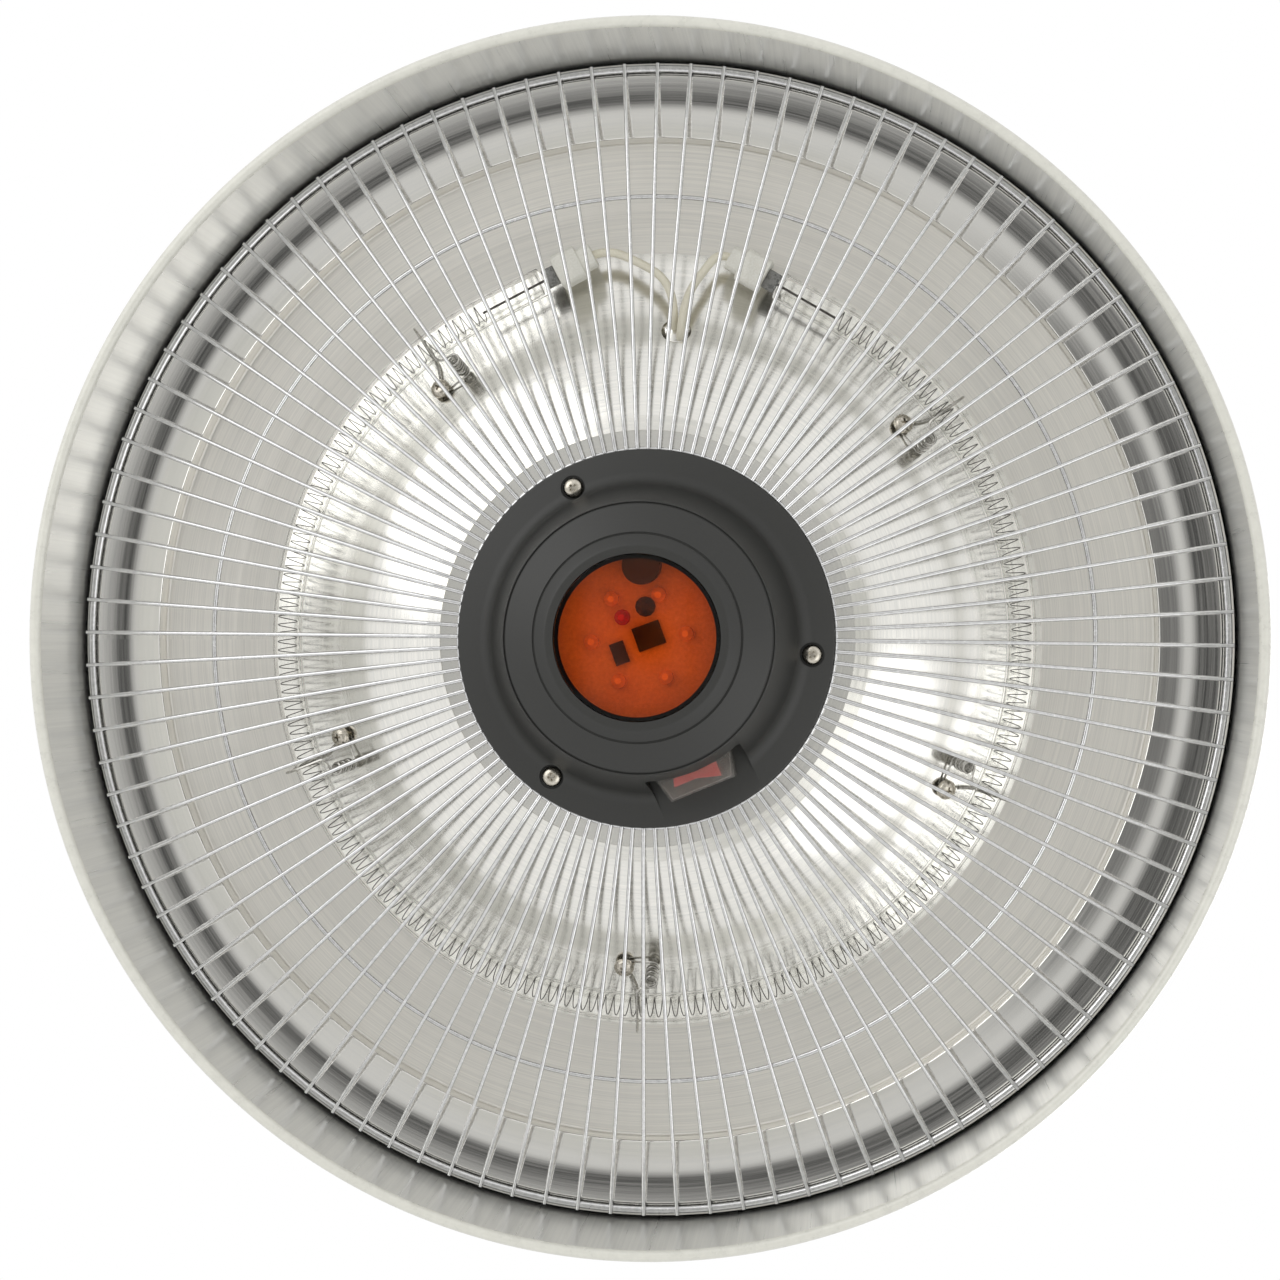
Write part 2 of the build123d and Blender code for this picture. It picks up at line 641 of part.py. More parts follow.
right_points = [
    right_exit,
    right_exit + right_way * 6.0,
    (18.8, -129.9, 44.0),
    (14.6, -123.8, 42.6),
    (12.4, -117.0, 40.6),
    (11.4, -111.0, 40.2),
    (10.6, -106.4, 43.9),
    (10.0, -102.6, 51.0),
    (9.4, -90.0, 61.5),
    (8.0, -58.0, 74.0),
    (4.6, -32.0, 91.0),
    (3.8, -26.0, 108.0),
    (4.2, -26.9, 119.0),
    (6.2, -30.5, 126.2),
    (TERMINAL_PITCH, lead_turn_y, terminal_base),
    (TERMINAL_PITCH, lead_stop_y, terminal_base),
]
parts["lamp_lead_left"] = lead("lamp_lead_left", left_points, LEAD_RADIUS)
parts["lamp_lead_right"] = lead("lamp_lead_right", right_points, LEAD_RADIUS)

# Hub loom: from inside the hub, through both bushes, to the terminals
loom_points = [
    (12.0, 3.0, BOARD_HEIGHT + BOARD_THICKNESS),
    (12.0, 3.0, 13.0),
    (0.4, -0.2, 24.0),
    (0.2, -0.4, 40.0),
    (-1.8, -4.0, 62.0),
    (-0.8, -14.0, 84.0),
    (0.2, -21.4, 103.0),
    (0.0, -22.6, 118.0),
    (-0.3, -27.0, 126.4),
    (0.0, lead_turn_y, terminal_base),
    (0.0, lead_stop_y, terminal_base),
]
parts["hub_loom"] = lead("hub_loom", loom_points, LOOM_RADIUS)


def grooved_bush(bore, hole, flange, low, high):
    """Rubber bush with a lip on each side of the sheet it sits in."""
    return (tube(bore, hole - 0.05, low, high)
            + tube(bore, flange, low - BUSH_LIP, low)
            + tube(bore, flange, high, high + BUSH_LIP))


hub_bush = grooved_bush(HUB_BUSH_BORE, HUB_BUSH_HOLE, HUB_BUSH_FLANGE,
                        HILL_HEIGHT, HILL_HEIGHT + PAN_WALL)
parts["hub_wire_bush"] = hub_bush
parts["shade_bush"] = Pos(0, SHADE_BUSH_Y, 0) * grooved_bush(
    SHADE_BUSH_BORE, SHADE_BUSH_HOLE, SHADE_BUSH_FLANGE, shade_under, SHADE_TOP_HEIGHT)

# Hub cover: solid of revolution, hollowed, then the switch pad, pockets and bosses
hub_skin = [
    (LENS_RADIUS, HUB_FRONT),
    (HUB_BEZEL, HUB_FRONT),
    (GROOVES[1], HUB_FRONT + 2.9),
    (NECK_RADIUS, NECK_HEIGHT),
    (FOOT_RADIUS, FOOT_HEIGHT),
    (HUB_RADIUS, HUB_EDGE_HEIGHT),
]
hub_fillets = [0.0, 0.0, 0.0, FOOT_FILLET]
hub_outline = FilletPolyline(
    [(0, HUB_FRONT), *hub_skin[1:], (HUB_RADIUS, HUB_REBATE_HEIGHT),
     (HUB_REBATE, HUB_REBATE_HEIGHT), (HUB_REBATE, HUB_FOOT), (0, HUB_FOOT)],
    radius=[0, *hub_fillets, 0, 0, 0, 0, 0], close=True)
hub_solid = ring(hub_outline)
inner_skin = offset_corners(hub_skin, HUB_WALL)
ledge_height = HUB_FRONT + LENS_INSET + LENS_THICKNESS
cavity_front = ledge_height + LENS_LEDGE
cavity = ring(Polyline(
    (0, cavity_front), (inner_skin[2][0], cavity_front + 0.4), inner_skin[3], inner_skin[4],
    (HUB_INNER, HUB_FOOT + 1), (0, HUB_FOOT + 1), close=True))
switch_middle = (SWITCH_TOP + SWITCH_BOTTOM) / 2
switch_height = SWITCH_BOTTOM - SWITCH_TOP
outward = (cos(radians(SWITCH_ANGLE)), sin(radians(SWITCH_ANGLE)), 0)
switch_plane = Plane(
    (SWITCH_FLAT * outward[0], SWITCH_FLAT * outward[1], switch_middle),
    x_dir=(-outward[1], outward[0], 0), z_dir=outward)


def on_switch(shape, lift=0.0):
    """Places a shape on the switch's flat, its Z axis pointing out of the hub."""
    return switch_plane.location * Pos(0, 0, lift) * shape


def slab(size, low, high):
    """Box with a width and a height, between two distances from its base plane."""
    return Pos(0, 0, (low + high) / 2) * Box(size[0], size[1], high - low)


pad = on_switch(slab((2 * RECESS_HALF, switch_height + 4), -PANEL, 8)) & hub_solid
cover = hub_solid - cavity + pad
cover -= on_switch(slab((2 * RECESS_HALF, switch_height), 0, 16))
panel_hole = (SWITCH_BODY[0] + 2 * BODY_CLEARANCE, SWITCH_BODY[1] + 2 * BODY_CLEARANCE)
cover -= on_switch(slab(panel_hole, -PANEL - 6, 1))
cover -= Pos(0, 0, HUB_FRONT) * Cylinder(
    LENS_RADIUS + 0.1, 2 * (LENS_INSET + LENS_THICKNESS))
cover -= Pos(0, 0, HUB_FRONT) * Cylinder(LENS_RADIUS - LENS_LEDGE, 20)
front_slope = (NECK_HEIGHT - HUB_FRONT - 2.9) / (NECK_RADIUS - GROOVES[1])
for groove in GROOVES:
    height = HUB_FRONT + 2.9 + (groove - GROOVES[1]) * front_slope
    cover -= tube(groove - GROOVE_WIDTH / 2, groove + GROOVE_WIDTH / 2,
                  height - 3, height + GROOVE_DEPTH)
for angle in HUB_SCREW_ANGLES:
    cover -= at(HUB_SCREW_AT, angle, POCKET_FLOOR - 5) * Cylinder(POCKET_RADIUS, 10)
    cover -= at(HUB_SCREW_AT, angle, HUB_FOOT) * Cylinder(HUB_SCREW[2] + HOLE_CLEARANCE, 12)
boss_foot = cavity_front - 0.6
for angle in BOSS_ANGLES:
    boss = at(BOSS_AT, angle, (boss_foot + BOARD_HEIGHT) / 2) * Cylinder(
        BOSS_RADIUS, BOARD_HEIGHT - boss_foot)
    cover += boss
    cover -= at(BOSS_AT, angle, BOARD_HEIGHT - 3) * Cylinder(BOARD_SCREW[2] + 0.05, 6)
parts["hub_cover"] = cover

gasket = tube(GASKET_INNER, GASKET_OUTER, HUB_FOOT, HILL_HEIGHT)
for angle in HUB_SCREW_ANGLES:
    gasket -= at(HUB_SCREW_AT, angle, HILL_HEIGHT) * Cylinder(HUB_SCREW[2] + HOLE_CLEARANCE, 6)
parts["hub_gasket"] = gasket
parts["hub_screws"] = Compound([
    at(HUB_SCREW_AT, a, POCKET_FLOOR) * pan_head_screw(HUB_SCREW, 8.6) for a in HUB_SCREW_ANGLES])
parts["hub_nuts"] = Compound([
    at(HUB_SCREW_AT, a, HILL_HEIGHT + PAN_WALL) * hex_nut(NUT_WIDTH, NUT_HEIGHT, HUB_SCREW[2] + 0.05)
    for a in HUB_SCREW_ANGLES])

# Lens and board
lens_low = HUB_FRONT + LENS_INSET
parts["hub_lens"] = Pos(0, 0, lens_low + LENS_THICKNESS / 2) * Cylinder(LENS_RADIUS, LENS_THICKNESS)
board = Pos(0, 0, BOARD_HEIGHT + BOARD_THICKNESS / 2) * Cylinder(BOARD_RADIUS, BOARD_THICKNESS)
for angle in BOSS_ANGLES:
    board -= at(BOSS_AT, angle, BOARD_HEIGHT) * Cylinder(BOARD_SCREW[2] + HOLE_CLEARANCE, 8)
parts["led_board"] = board
board_back = BOARD_HEIGHT + BOARD_THICKNESS
parts["board_screws"] = Compound([
    at(BOSS_AT, a, board_back) * pan_head_screw(BOARD_SCREW, 6.0, up=False) for a in BOSS_ANGLES])


def domed_lamp(radius, length):
    """Small lamp hanging under z = 0, with a collar and a domed end."""
    body = prism(radius, radius - length, 0) + prism(radius + 0.2, -1.0, 0)
    dome = loft([Pos(0, 0, -length) * RegularPolygon(0.45 * radius, 12),
                 Pos(0, 0, radius - length) * RegularPolygon(radius, 12)])
    return body + dome


on_board = Pos(0, 0, BOARD_HEIGHT)
parts["board_leds"] = Compound([
    at(LED_AT, LED_PHASE + 360 * i / LED_COUNT, BOARD_HEIGHT) * domed_lamp(LED_RADIUS, LED_LENGTH)
    for i in range(LED_COUNT)])
parts["status_led"] = on_board * Pos(*STATUS_LED_AT) * domed_lamp(LED_RADIUS, LED_LENGTH)
parts["ir_receiver"] = on_board * Pos(*RECEIVER_AT) * domed_lamp(RECEIVER_RADIUS, RECEIVER_LENGTH)
parts["buzzer"] = on_board * Pos(*BUZZER_AT, -BUZZER_LENGTH / 2) * Cylinder(
    BUZZER_RADIUS, BUZZER_LENGTH)
parts["board_chip"] = on_board * Pos(*CHIP_AT, -CHIP_SIZE[2] / 2) * Rot(0, 0, BOARD_TURN) * Box(*CHIP_SIZE)
parts["board_resistor"] = (on_board * Pos(*RESISTOR_AT, -RESISTOR_SIZE[2] / 2)
                           * Rot(0, 0, BOARD_TURN) * Box(*RESISTOR_SIZE))

# Switch: boot with its lip under the bezel, body with a well, rocker on two stub pins
boot_outer = loft([Rectangle(*BOOT_BASE), Pos(0, 0, BOOT_HEIGHT) * Rectangle(*BOOT_FACE)])
boot_inner = loft([
    Pos(0, 0, BOOT_LIP) * Rectangle(*(s - 2 * BOOT_WALL for s in BOOT_BASE)),
    Pos(0, 0, BOOT_HEIGHT - BOOT_WALL) * Rectangle(*(s - 2 * BOOT_WALL for s in BOOT_FACE))])
boot = boot_outer - boot_inner - slab(panel_hole, -1, 2)
parts["switch_boot"] = on_switch(boot)
bezel_top = BOOT_LIP + BEZEL_HEIGHT
switch_body = slab(BEZEL, BOOT_LIP, bezel_top) + slab(SWITCH_BODY, -SWITCH_DEPTH, bezel_top)
switch_body -= slab(WELL, -WELL_DEPTH, bezel_top + 1)
socket_depth = WELL[1] / 2 + PIVOT_LENGTH
switch_body -= Pos(0, 0, PIVOT_HEIGHT) * Rot(90, 0, 0) * Cylinder(
    PIVOT_RADIUS + PIVOT_CLEARANCE, 2 * socket_depth)
parts["switch_body"] = on_switch(switch_body)
parts["switch_tabs"] = on_switch(Compound([
    Pos(TAB_SPACING * i, 0, -SWITCH_DEPTH - TAB[2] / 2) * Box(*TAB) for i in (-1, 0, 1)]))
keel = [(-0.92, -0.9), (-0.66, -3.6), (-0.27, -ROCKER_KEEL)]
left_side = [(ROCKER_HALF * x, y) for x, y in keel]
right_side = [(-x, y) for x, y in left_side[::-1]]
rocker_outline = Polyline(
    (-ROCKER_HALF, ROCKER_CREST), *left_side, *right_side, (ROCKER_HALF, ROCKER_CREST),
    (0, ROCKER_VALLEY), close=True)
rocker = extrude(Plane.XZ * make_face(rocker_outline), ROCKER_WIDTH / 2, both=True)
pin_reach = WELL[1] / 2 + PIVOT_LENGTH - 0.2
rocker += Rot(90, 0, 0) * Cylinder(PIVOT_RADIUS, 2 * pin_reach)
parts["switch_rocker"] = on_switch(Rot(0, ROCKER_TILT, 0) * rocker, PIVOT_HEIGHT)

# Posts between the reflector and the shade's top
post_low, post_high = HILL_HEIGHT + PAN_WALL, shade_under
posts = []
for angle in POST_ANGLES:
    post = prism(POST_RADIUS, post_low, post_high)
    for end in (post_low, post_high):
        post -= prism(POST_SCREW[2] + 0.05, end - 12, end + 12, 6)
    posts.append(at(POST_AT, angle) * post)
parts["stay_posts"] = Compound(posts)
parts["post_lower_screws"] = Compound([
    at(POST_AT, a, HILL_HEIGHT) * pan_head_screw(POST_SCREW, 10.0) for a in POST_ANGLES])
parts["post_upper_screws"] = Compound([
    at(POST_AT, a, SHADE_TOP_HEIGHT) * pan_head_screw(POST_SCREW, 10.0, up=False)
    for a in POST_ANGLES])

# Top cap on its gasket, with a flat pad for the gland
cap_base = SHADE_TOP_HEIGHT + CAP_GASKET
cap_top = cap_base + CAP_HEIGHT
cap_gasket = tube(CAP_RADIUS - 3, CAP_FLANGE_RADIUS - 0.5, SHADE_TOP_HEIGHT, cap_base)
cap = spun([(CAP_RADIUS, cap_base), (CAP_RADIUS, cap_base + CAP_FLANGE),
            (CAP_TOP_RADIUS, cap_top - CAP_SHOULDER),
            (CAP_TOP_RADIUS - 0.3 * CAP_SHOULDER, cap_top - 0.3 * CAP_SHOULDER),
            (CAP_TOP_RADIUS - CAP_SHOULDER, cap_top),
            (SHANK_RADIUS + SHANK_CLEARANCE, cap_top)],
           4 * [0.0], CAP_WALL)
cap += tube(CAP_RADIUS - CAP_WALL / 2, CAP_FLANGE_RADIUS, cap_base, cap_base + CAP_FLANGE)
gland_axis = SHADE_TOP_HEIGHT + GLAND_HEIGHT


def on_gland(shape):
    """Places a shape with its Z axis along the gland, base on the cap's pad."""
    return Pos(GLAND_PAD_AT, 0, gland_axis) * Rot(0, 90, 0) * shape


def gland_tube(inner, outer, low, high):
    """Round tube along the gland's axis, measured out from the pad."""
    return on_gland(tube(inner, outer, low, high))


pad_root = CAP_TOP_RADIUS - GLAND_PAD_AT - 1
pad_room = Pos(0, 0, cap_base + CAP_HEIGHT / 2) * Cylinder(GLAND_PAD_AT + 1, CAP_HEIGHT)
cap += gland_tube(0.01, GLAND_PAD_RADIUS, pad_root, 0) & pad_room
cap -= gland_tube(0.01, GLAND_PAD_RADIUS - CAP_WALL, -GLAND_POCKET, -GLAND_PANEL)
cap -= on_gland(Cylinder(GLAND_THREAD + HOLE_CLEARANCE, 60))
for angle in CAP_SCREW_ANGLES:
    hole = at(CAP_SCREW_AT, angle, cap_base) * Cylinder(CAP_SCREW[2] + HOLE_CLEARANCE, 12)
    cap -= hole
    cap_gasket -= hole
parts["cap_gasket"] = cap_gasket
parts["top_cap"] = cap
parts["cap_screws"] = Compound([
    at(CAP_SCREW_AT, a, cap_base + CAP_FLANGE) * pan_head_screw(CAP_SCREW, 9.0, up=False)
    for a in CAP_SCREW_ANGLES])
parts["cap_nuts"] = Compound([
    at(CAP_SCREW_AT, a, shade_under - NUT_HEIGHT) * hex_nut(NUT_WIDTH, NUT_HEIGHT, CAP_SCREW[2] + 0.05)
    for a in CAP_SCREW_ANGLES])

# Cable gland: threaded body, seal, dome nut outside and lock nut inside
thread_end = GLAND_HEX_LENGTH + 8.0
gland_body = on_gland(extrude(RegularPolygon(GLAND_HEX / 2, 6, major_radius=False), GLAND_HEX_LENGTH))
gland_body += gland_tube(GLAND_BORE, GLAND_THREAD, -GLAND_INSIDE, thread_end)
gland_body -= on_gland(Cylinder(GLAND_BORE, 80))
gland_body -= gland_tube(0.01, GLAND_SEAL_RADIUS + 0.1, thread_end - 7.0, thread_end + 1)
parts["gland_body"] = gland_body
seal_start = thread_end - 7.0
parts["gland_seal"] = gland_tube(GLAND_BORE, GLAND_SEAL_RADIUS, seal_start,
                                 seal_start + GLAND_SEAL_LENGTH)
nut_start = GLAND_HEX_LENGTH + 0.5
dome_nut = on_gland(ring(Polyline(
    (GLAND_THREAD + 0.1, nut_start), (GLAND_NUT_RADIUS, nut_start),
    (GLAND_NUT_RADIUS, nut_start + GLAND_NUT_LENGTH - 5),
    (GLAND_BORE + 1.8, nut_start + GLAND_NUT_LENGTH), (GLAND_BORE, nut_start + GLAND_NUT_LENGTH),
    (GLAND_BORE, seal_start + GLAND_SEAL_LENGTH + 0.3),
    (GLAND_THREAD + 0.1, seal_start + GLAND_SEAL_LENGTH + 0.3), close=True)))
parts["gland_dome_nut"] = dome_nut
parts["gland_lock_nut"] = on_gland(Pos(0, 0, -GLAND_PANEL - GLAND_LOCK) * hex_nut(
    GLAND_HEX + 1, GLAND_LOCK, GLAND_THREAD + 0.05))

# Terminal block with its screws, and the power board on four stands
block = Pos(0, TERMINAL_FACE_Y - TERMINAL_SIZE[1] / 2, SHADE_TOP_HEIGHT + TERMINAL_SIZE[2] / 2) * Box(
    *TERMINAL_SIZE)
terminal_screws = []
for column in (-1, 0, 1):
    for row in (0.27, 0.73):
        spot = Pos(column * TERMINAL_PITCH, TERMINAL_FACE_Y - TERMINAL_SIZE[1] * row,
                   SHADE_TOP_HEIGHT + TERMINAL_SIZE[2])
        block -= spot * prism(TERMINAL_SCREW_RADIUS + 0.1, -2.5, 1, 8)
        terminal_screws.append(spot * prism(TERMINAL_SCREW_RADIUS, -2.5, -0.5, 8))
for column, radius in ((-1, LEAD_RADIUS), (0, LOOM_RADIUS), (1, LEAD_RADIUS)):
    block -= (Pos(column * TERMINAL_PITCH, TERMINAL_FACE_Y, terminal_base) * Rot(90, 0, 0)
              * prism(radius + 0.2, -TERMINAL_HOLE_DEPTH, TERMINAL_HOLE_DEPTH, 8))
parts["terminal_block"] = block
parts["terminal_screws"] = Compound(terminal_screws)
board_low = SHADE_TOP_HEIGHT + POWER_STAND
parts["power_board"] = Pos(0, POWER_BOARD_Y, board_low + POWER_BOARD[2] / 2) * Box(*POWER_BOARD)
stand_x, stand_y = POWER_BOARD[0] / 2 - 4, POWER_BOARD[1] / 2 - 4
parts["board_stands"] = Compound([
    Pos(x, POWER_BOARD_Y + y, SHADE_TOP_HEIGHT) * prism(2.5, 0, POWER_STAND, 8)
    for x in (-stand_x, stand_x) for y in (-stand_y, stand_y)])
parts["power_relay"] = Pos(-12, POWER_BOARD_Y, board_low + POWER_BOARD[2] + RELAY[2] / 2) * Box(*RELAY)

# Hanging eye: flat-sided forged eye, collar and threaded shank, with washers and nuts
eye = Rot(90, 0, 0) * Cylinder(EYE_RADIUS, EYE_THICKNESS)
eye = chamfer(eye.edges(), 1.2) - Rot(90, 0, 0) * Cylinder(EYE_HOLE, EYE_THICKNESS + 1)
collar_top = EYE_HEIGHT - EYE_RADIUS + 2.0
washer_low = cap_top
nut_low = washer_low + WASHER_HEIGHT
shank_low = shade_under - WASHER_HEIGHT - EYE_NUT_HEIGHT - 2.5
eye = Pos(0, 0, EYE_HEIGHT) * eye
collar_low = nut_low + EYE_NUT_HEIGHT + 0.3
collar = Pos(0, 0, (collar_low + collar_top) / 2) * Cylinder(EYE_COLLAR, collar_top - collar_low)
collar -= Pos(0, 0, EYE_HEIGHT) * Rot(90, 0, 0) * Cylinder(EYE_HOLE, 20)
shank = Pos(0, 0, (shank_low + collar_low) / 2) * Cylinder(SHANK_RADIUS, collar_low - shank_low)
parts["hanging_eye"] = eye + collar + shank
washer_heights = (cap_top, SHADE_TOP_HEIGHT, shade_under - WASHER_HEIGHT)
nut_heights = (nut_low, SHADE_TOP_HEIGHT + WASHER_HEIGHT,
               shade_under - WASHER_HEIGHT - EYE_NUT_HEIGHT)
parts["eye_washers"] = Compound([
    tube(SHANK_RADIUS + SHANK_CLEARANCE, WASHER_RADIUS, z, z + WASHER_HEIGHT)
    for z in washer_heights])
parts["eye_nuts"] = Compound([
    Pos(0, 0, z) * hex_nut(EYE_NUT_WIDTH, EYE_NUT_HEIGHT, SHANK_RADIUS + 0.05)
    for z in nut_heights])

# Export, with the hanging eye's centre at the origin
os.makedirs("parts", exist_ok=True)
for name, shape in parts.items():
    export_step(Pos(0, 0, -EYE_HEIGHT) * shape, f"parts/{name}.step")
print(len(parts), "nodes written")
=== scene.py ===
"""Ceiling infrared heater, hung by its eye and seen from below, dressed over its CAD frame.

Sizes are in millimetres above the rim's plane, as the maker's drawing gives them. Each
mesh is brought into the row frame, in metres with the hanging eye at the origin, when
it is finished.
"""

from __future__ import annotations

import json
import logging
from dataclasses import dataclass
from enum import Enum
from math import asin, atan2, cos, degrees, hypot, pi, radians, sin, sqrt, tan
from typing import Iterable, Sequence

import bmesh
import bpy
from mathutils import Matrix, Vector

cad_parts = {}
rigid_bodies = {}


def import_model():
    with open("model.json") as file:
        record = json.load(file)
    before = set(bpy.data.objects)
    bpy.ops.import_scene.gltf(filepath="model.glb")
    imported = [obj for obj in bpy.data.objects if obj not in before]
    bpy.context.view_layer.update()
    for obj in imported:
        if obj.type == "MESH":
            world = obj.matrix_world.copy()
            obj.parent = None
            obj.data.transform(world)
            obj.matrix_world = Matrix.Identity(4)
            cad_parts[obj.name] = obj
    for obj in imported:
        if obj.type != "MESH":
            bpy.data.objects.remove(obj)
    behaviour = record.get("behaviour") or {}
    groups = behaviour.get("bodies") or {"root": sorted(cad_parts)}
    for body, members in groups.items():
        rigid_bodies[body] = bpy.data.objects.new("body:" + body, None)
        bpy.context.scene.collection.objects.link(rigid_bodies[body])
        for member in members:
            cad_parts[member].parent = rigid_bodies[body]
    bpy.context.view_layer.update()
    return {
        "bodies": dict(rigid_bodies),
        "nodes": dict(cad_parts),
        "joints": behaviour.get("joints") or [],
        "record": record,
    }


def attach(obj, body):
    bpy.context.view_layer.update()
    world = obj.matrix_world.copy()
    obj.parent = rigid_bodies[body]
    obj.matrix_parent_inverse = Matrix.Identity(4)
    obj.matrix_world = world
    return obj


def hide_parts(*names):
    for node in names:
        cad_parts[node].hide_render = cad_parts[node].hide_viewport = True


log = logging.getLogger("heater")

EYE_HEIGHT = 187.0
TO_ROW = Matrix.Scale(0.001, 4) @ Matrix.Translation((0.0, 0.0, -EYE_HEIGHT))
BODY = "heater"

Point = tuple[float, float]
Colour = tuple[float, float, float, float]
Route = tuple[tuple[float, float, float], ...]


def tone(code: str) -> Colour:
    """Linear colour, with an alpha of one, of a screen colour in six hexadecimal digits."""
    parts = []
    for value in bytes.fromhex(code):
        share = value / 255
        parts.append(share / 12.92 if share <= 0.04045 else ((share + 0.055) / 1.055) ** 2.4)
    return parts[0], parts[1], parts[2], 1.0


class Grain(Enum):
    """How a finish's fine pattern runs over a piece."""

    EVEN = "even"
    RINGS = "rings"
    RUNS_UP = "runs up"


class Sketch:
    """The node tree of a material or a world, with short ways to add and join nodes."""

    def __init__(self, owner: bpy.types.Material | bpy.types.World, output: str = "OutputMaterial") -> None:
        """Empties the owner's tree and gives it an output."""
        self.owner = owner
        owner.use_nodes = True
        self.tree = owner.node_tree
        self.tree.nodes.clear()
        self.output = self.add(output)

    def add(self, kind: str, settings: dict[str, object] | None = None, **inputs: object) -> bpy.types.Node:
        """Adds a node.

        Args:
            kind: The node's type, without its ShaderNode prefix.
            settings: Properties of the node itself.
            **inputs: Values or sockets for inputs, their names written with underscores.

        Returns:
            The new node.
        """
        node = self.tree.nodes.new("ShaderNode" + kind)
        for key, value in (settings or {}).items():
            setattr(node, key, value)
        for key, value in inputs.items():
            socket = node.inputs[int(key[1:])] if key[1:].isdigit() else node.inputs[key.replace("_", " ")]
            if isinstance(value, bpy.types.NodeSocket):
                self.tree.links.new(value, socket)
            else:
                socket.default_value = value
        return node

    def math(self, operation: str, *values: object) -> bpy.types.NodeSocket:
        """Adds a sum of one or two values and gives its result."""
        inputs = {f"i{place}": value for place, value in enumerate(values)}
        return self.add("Math", {"operation": operation}, **inputs).outputs[0]

    def surface(self, shader: bpy.types.Node) -> None:
        """Joins a shader to the output."""
        self.tree.links.new(shader.outputs[0], self.output.inputs["Surface"])

    def spot(self) -> tuple:
        """Place on the piece in the row frame: its three parts, and the place seen from above."""
        split = self.add("SeparateXYZ", i0=self.add("TexCoord").outputs["Object"]).outputs
        return split, self.add("CombineXYZ", X=split["X"], Y=split["Y"]).outputs[0]

    def place(self, grain: Grain, scale: float) -> bpy.types.NodeSocket:
        """Pattern coordinates on the piece, from its place in the row frame.

        Args:
            grain: How the pattern runs.
            scale: Pattern units in a metre.

        Returns:
            The vector socket to feed a texture with.
        """
        if grain is Grain.EVEN:
            spot = self.add("TexCoord").outputs["Object"]
            return self.add("VectorMath", {"operation": "SCALE"}, i0=spot, Scale=scale).outputs[0]
        split, flat = self.spot()
        turn = self.math("ARCTAN2", split["Y"], split["X"])
        if grain is Grain.RINGS:
            reach = self.add("VectorMath", {"operation": "LENGTH"}, i0=flat).outputs["Value"]
            return self.add("CombineXYZ", X=self.math("MULTIPLY", reach, scale), Y=self.math("MULTIPLY", turn, 2.4),
                            Z=self.math("MULTIPLY", split["Z"], scale)).outputs[0]
        return self.add("CombineXYZ", X=self.math("MULTIPLY", turn, scale * 0.2),
                        Y=self.math("MULTIPLY", split["Z"], 9.0)).outputs[0]


@dataclass(frozen=True)
class Finish:
    """A surface: its colour, its gloss and the fine pattern in both."""

    name: str
    slot: str
    colour: str
    shade: str | None = None
    metallic: float = 0.0
    roughness: float = 0.5
    spread: float = 0.08
    grain: Grain = Grain.EVEN
    scale: float = 400.0
    relief: float = 0.0
    detail: float = 3.0
    coat: float = 0.0
    transmission: float = 0.0
    ior: float = 1.5
    sheen: float = 0.0

    def make(self) -> bpy.types.Material:
        """Makes the material, once for each name, and gives it."""
        made = bpy.data.materials.get(self.name)
        if made is not None:
            return made
        sketch = Sketch(bpy.data.materials.new(self.name))
        spot = sketch.place(self.grain, self.scale)
        noise = sketch.add("TexNoise", Vector=spot, Scale=1.0, Detail=self.detail, Roughness=0.6)
        value = noise.outputs["Fac"]
        blend = sketch.add("ValToRGB", Fac=value)
        ramp = blend.color_ramp
        ramp.elements[0].position = 0.3
        ramp.elements[1].position = 0.7
        colour = tone(self.colour)
        ramp.elements[0].color = tone(self.shade) if self.shade else tuple(0.9 * c for c in colour[:3]) + (1.0,)
        ramp.elements[1].color = colour
        rough = sketch.add("MapRange", Value=value, From_Min=0.3, From_Max=0.7,
                           To_Min=max(self.roughness - self.spread, 0.02),
                           To_Max=min(self.roughness + self.spread, 1.0))
        shader = sketch.add("BsdfPrincipled", Base_Color=blend.outputs[0], Metallic=self.metallic,
                            Roughness=rough.outputs[0], IOR=self.ior)
        shader.inputs["Coat Weight"].default_value = self.coat
        shader.inputs["Coat Roughness"].default_value = 0.08
        shader.inputs["Transmission Weight"].default_value = self.transmission
        shader.inputs["Sheen Weight"].default_value = self.sheen
        if self.relief:
            bump = sketch.add("Bump", Height=value, Strength=self.relief, Distance=0.0002)
            sketch.tree.links.new(bump.outputs[0], shader.inputs["Normal"])
        sketch.surface(shader)
        return sketch.owner


ENAMEL = Finish("cream_enamel", "shade_paint", "ecebe2", roughness=0.3, spread=0.05, scale=260.0, relief=0.04, coat=0.4)
SKIRT_METAL = Finish("brushed_skirt", "shade_paint", "e2e2de", "d2d2cf", metallic=0.85, roughness=0.3, spread=0.03,
                     grain=Grain.RUNS_UP, scale=900.0, relief=0.012)
PAN_METAL = Finish("spun_reflector", "reflector", "eceae4", "deddd8", metallic=1.0, roughness=0.17, spread=0.04,
                   grain=Grain.RINGS, scale=1500.0, relief=0.012, detail=4.0)
FLAT_METAL = Finish("brushed_annulus", "reflector", "eae7e0", "d6d4cf", metallic=1.0, roughness=0.46, spread=0.05,
                    grain=Grain.RINGS, scale=2600.0, relief=0.03, detail=5.0)
BAND_METAL = Finish("polished_band", "reflector", "eeece7", "e4e3df", metallic=1.0, roughness=0.1, spread=0.03,
                    grain=Grain.RINGS, scale=1500.0, relief=0.01)
WIRE_METAL = Finish("bright_wire", "guard_wire", "e2e2e2", "cdcdce", metallic=1.0, roughness=0.2, scale=700.0,
                    relief=0.02)
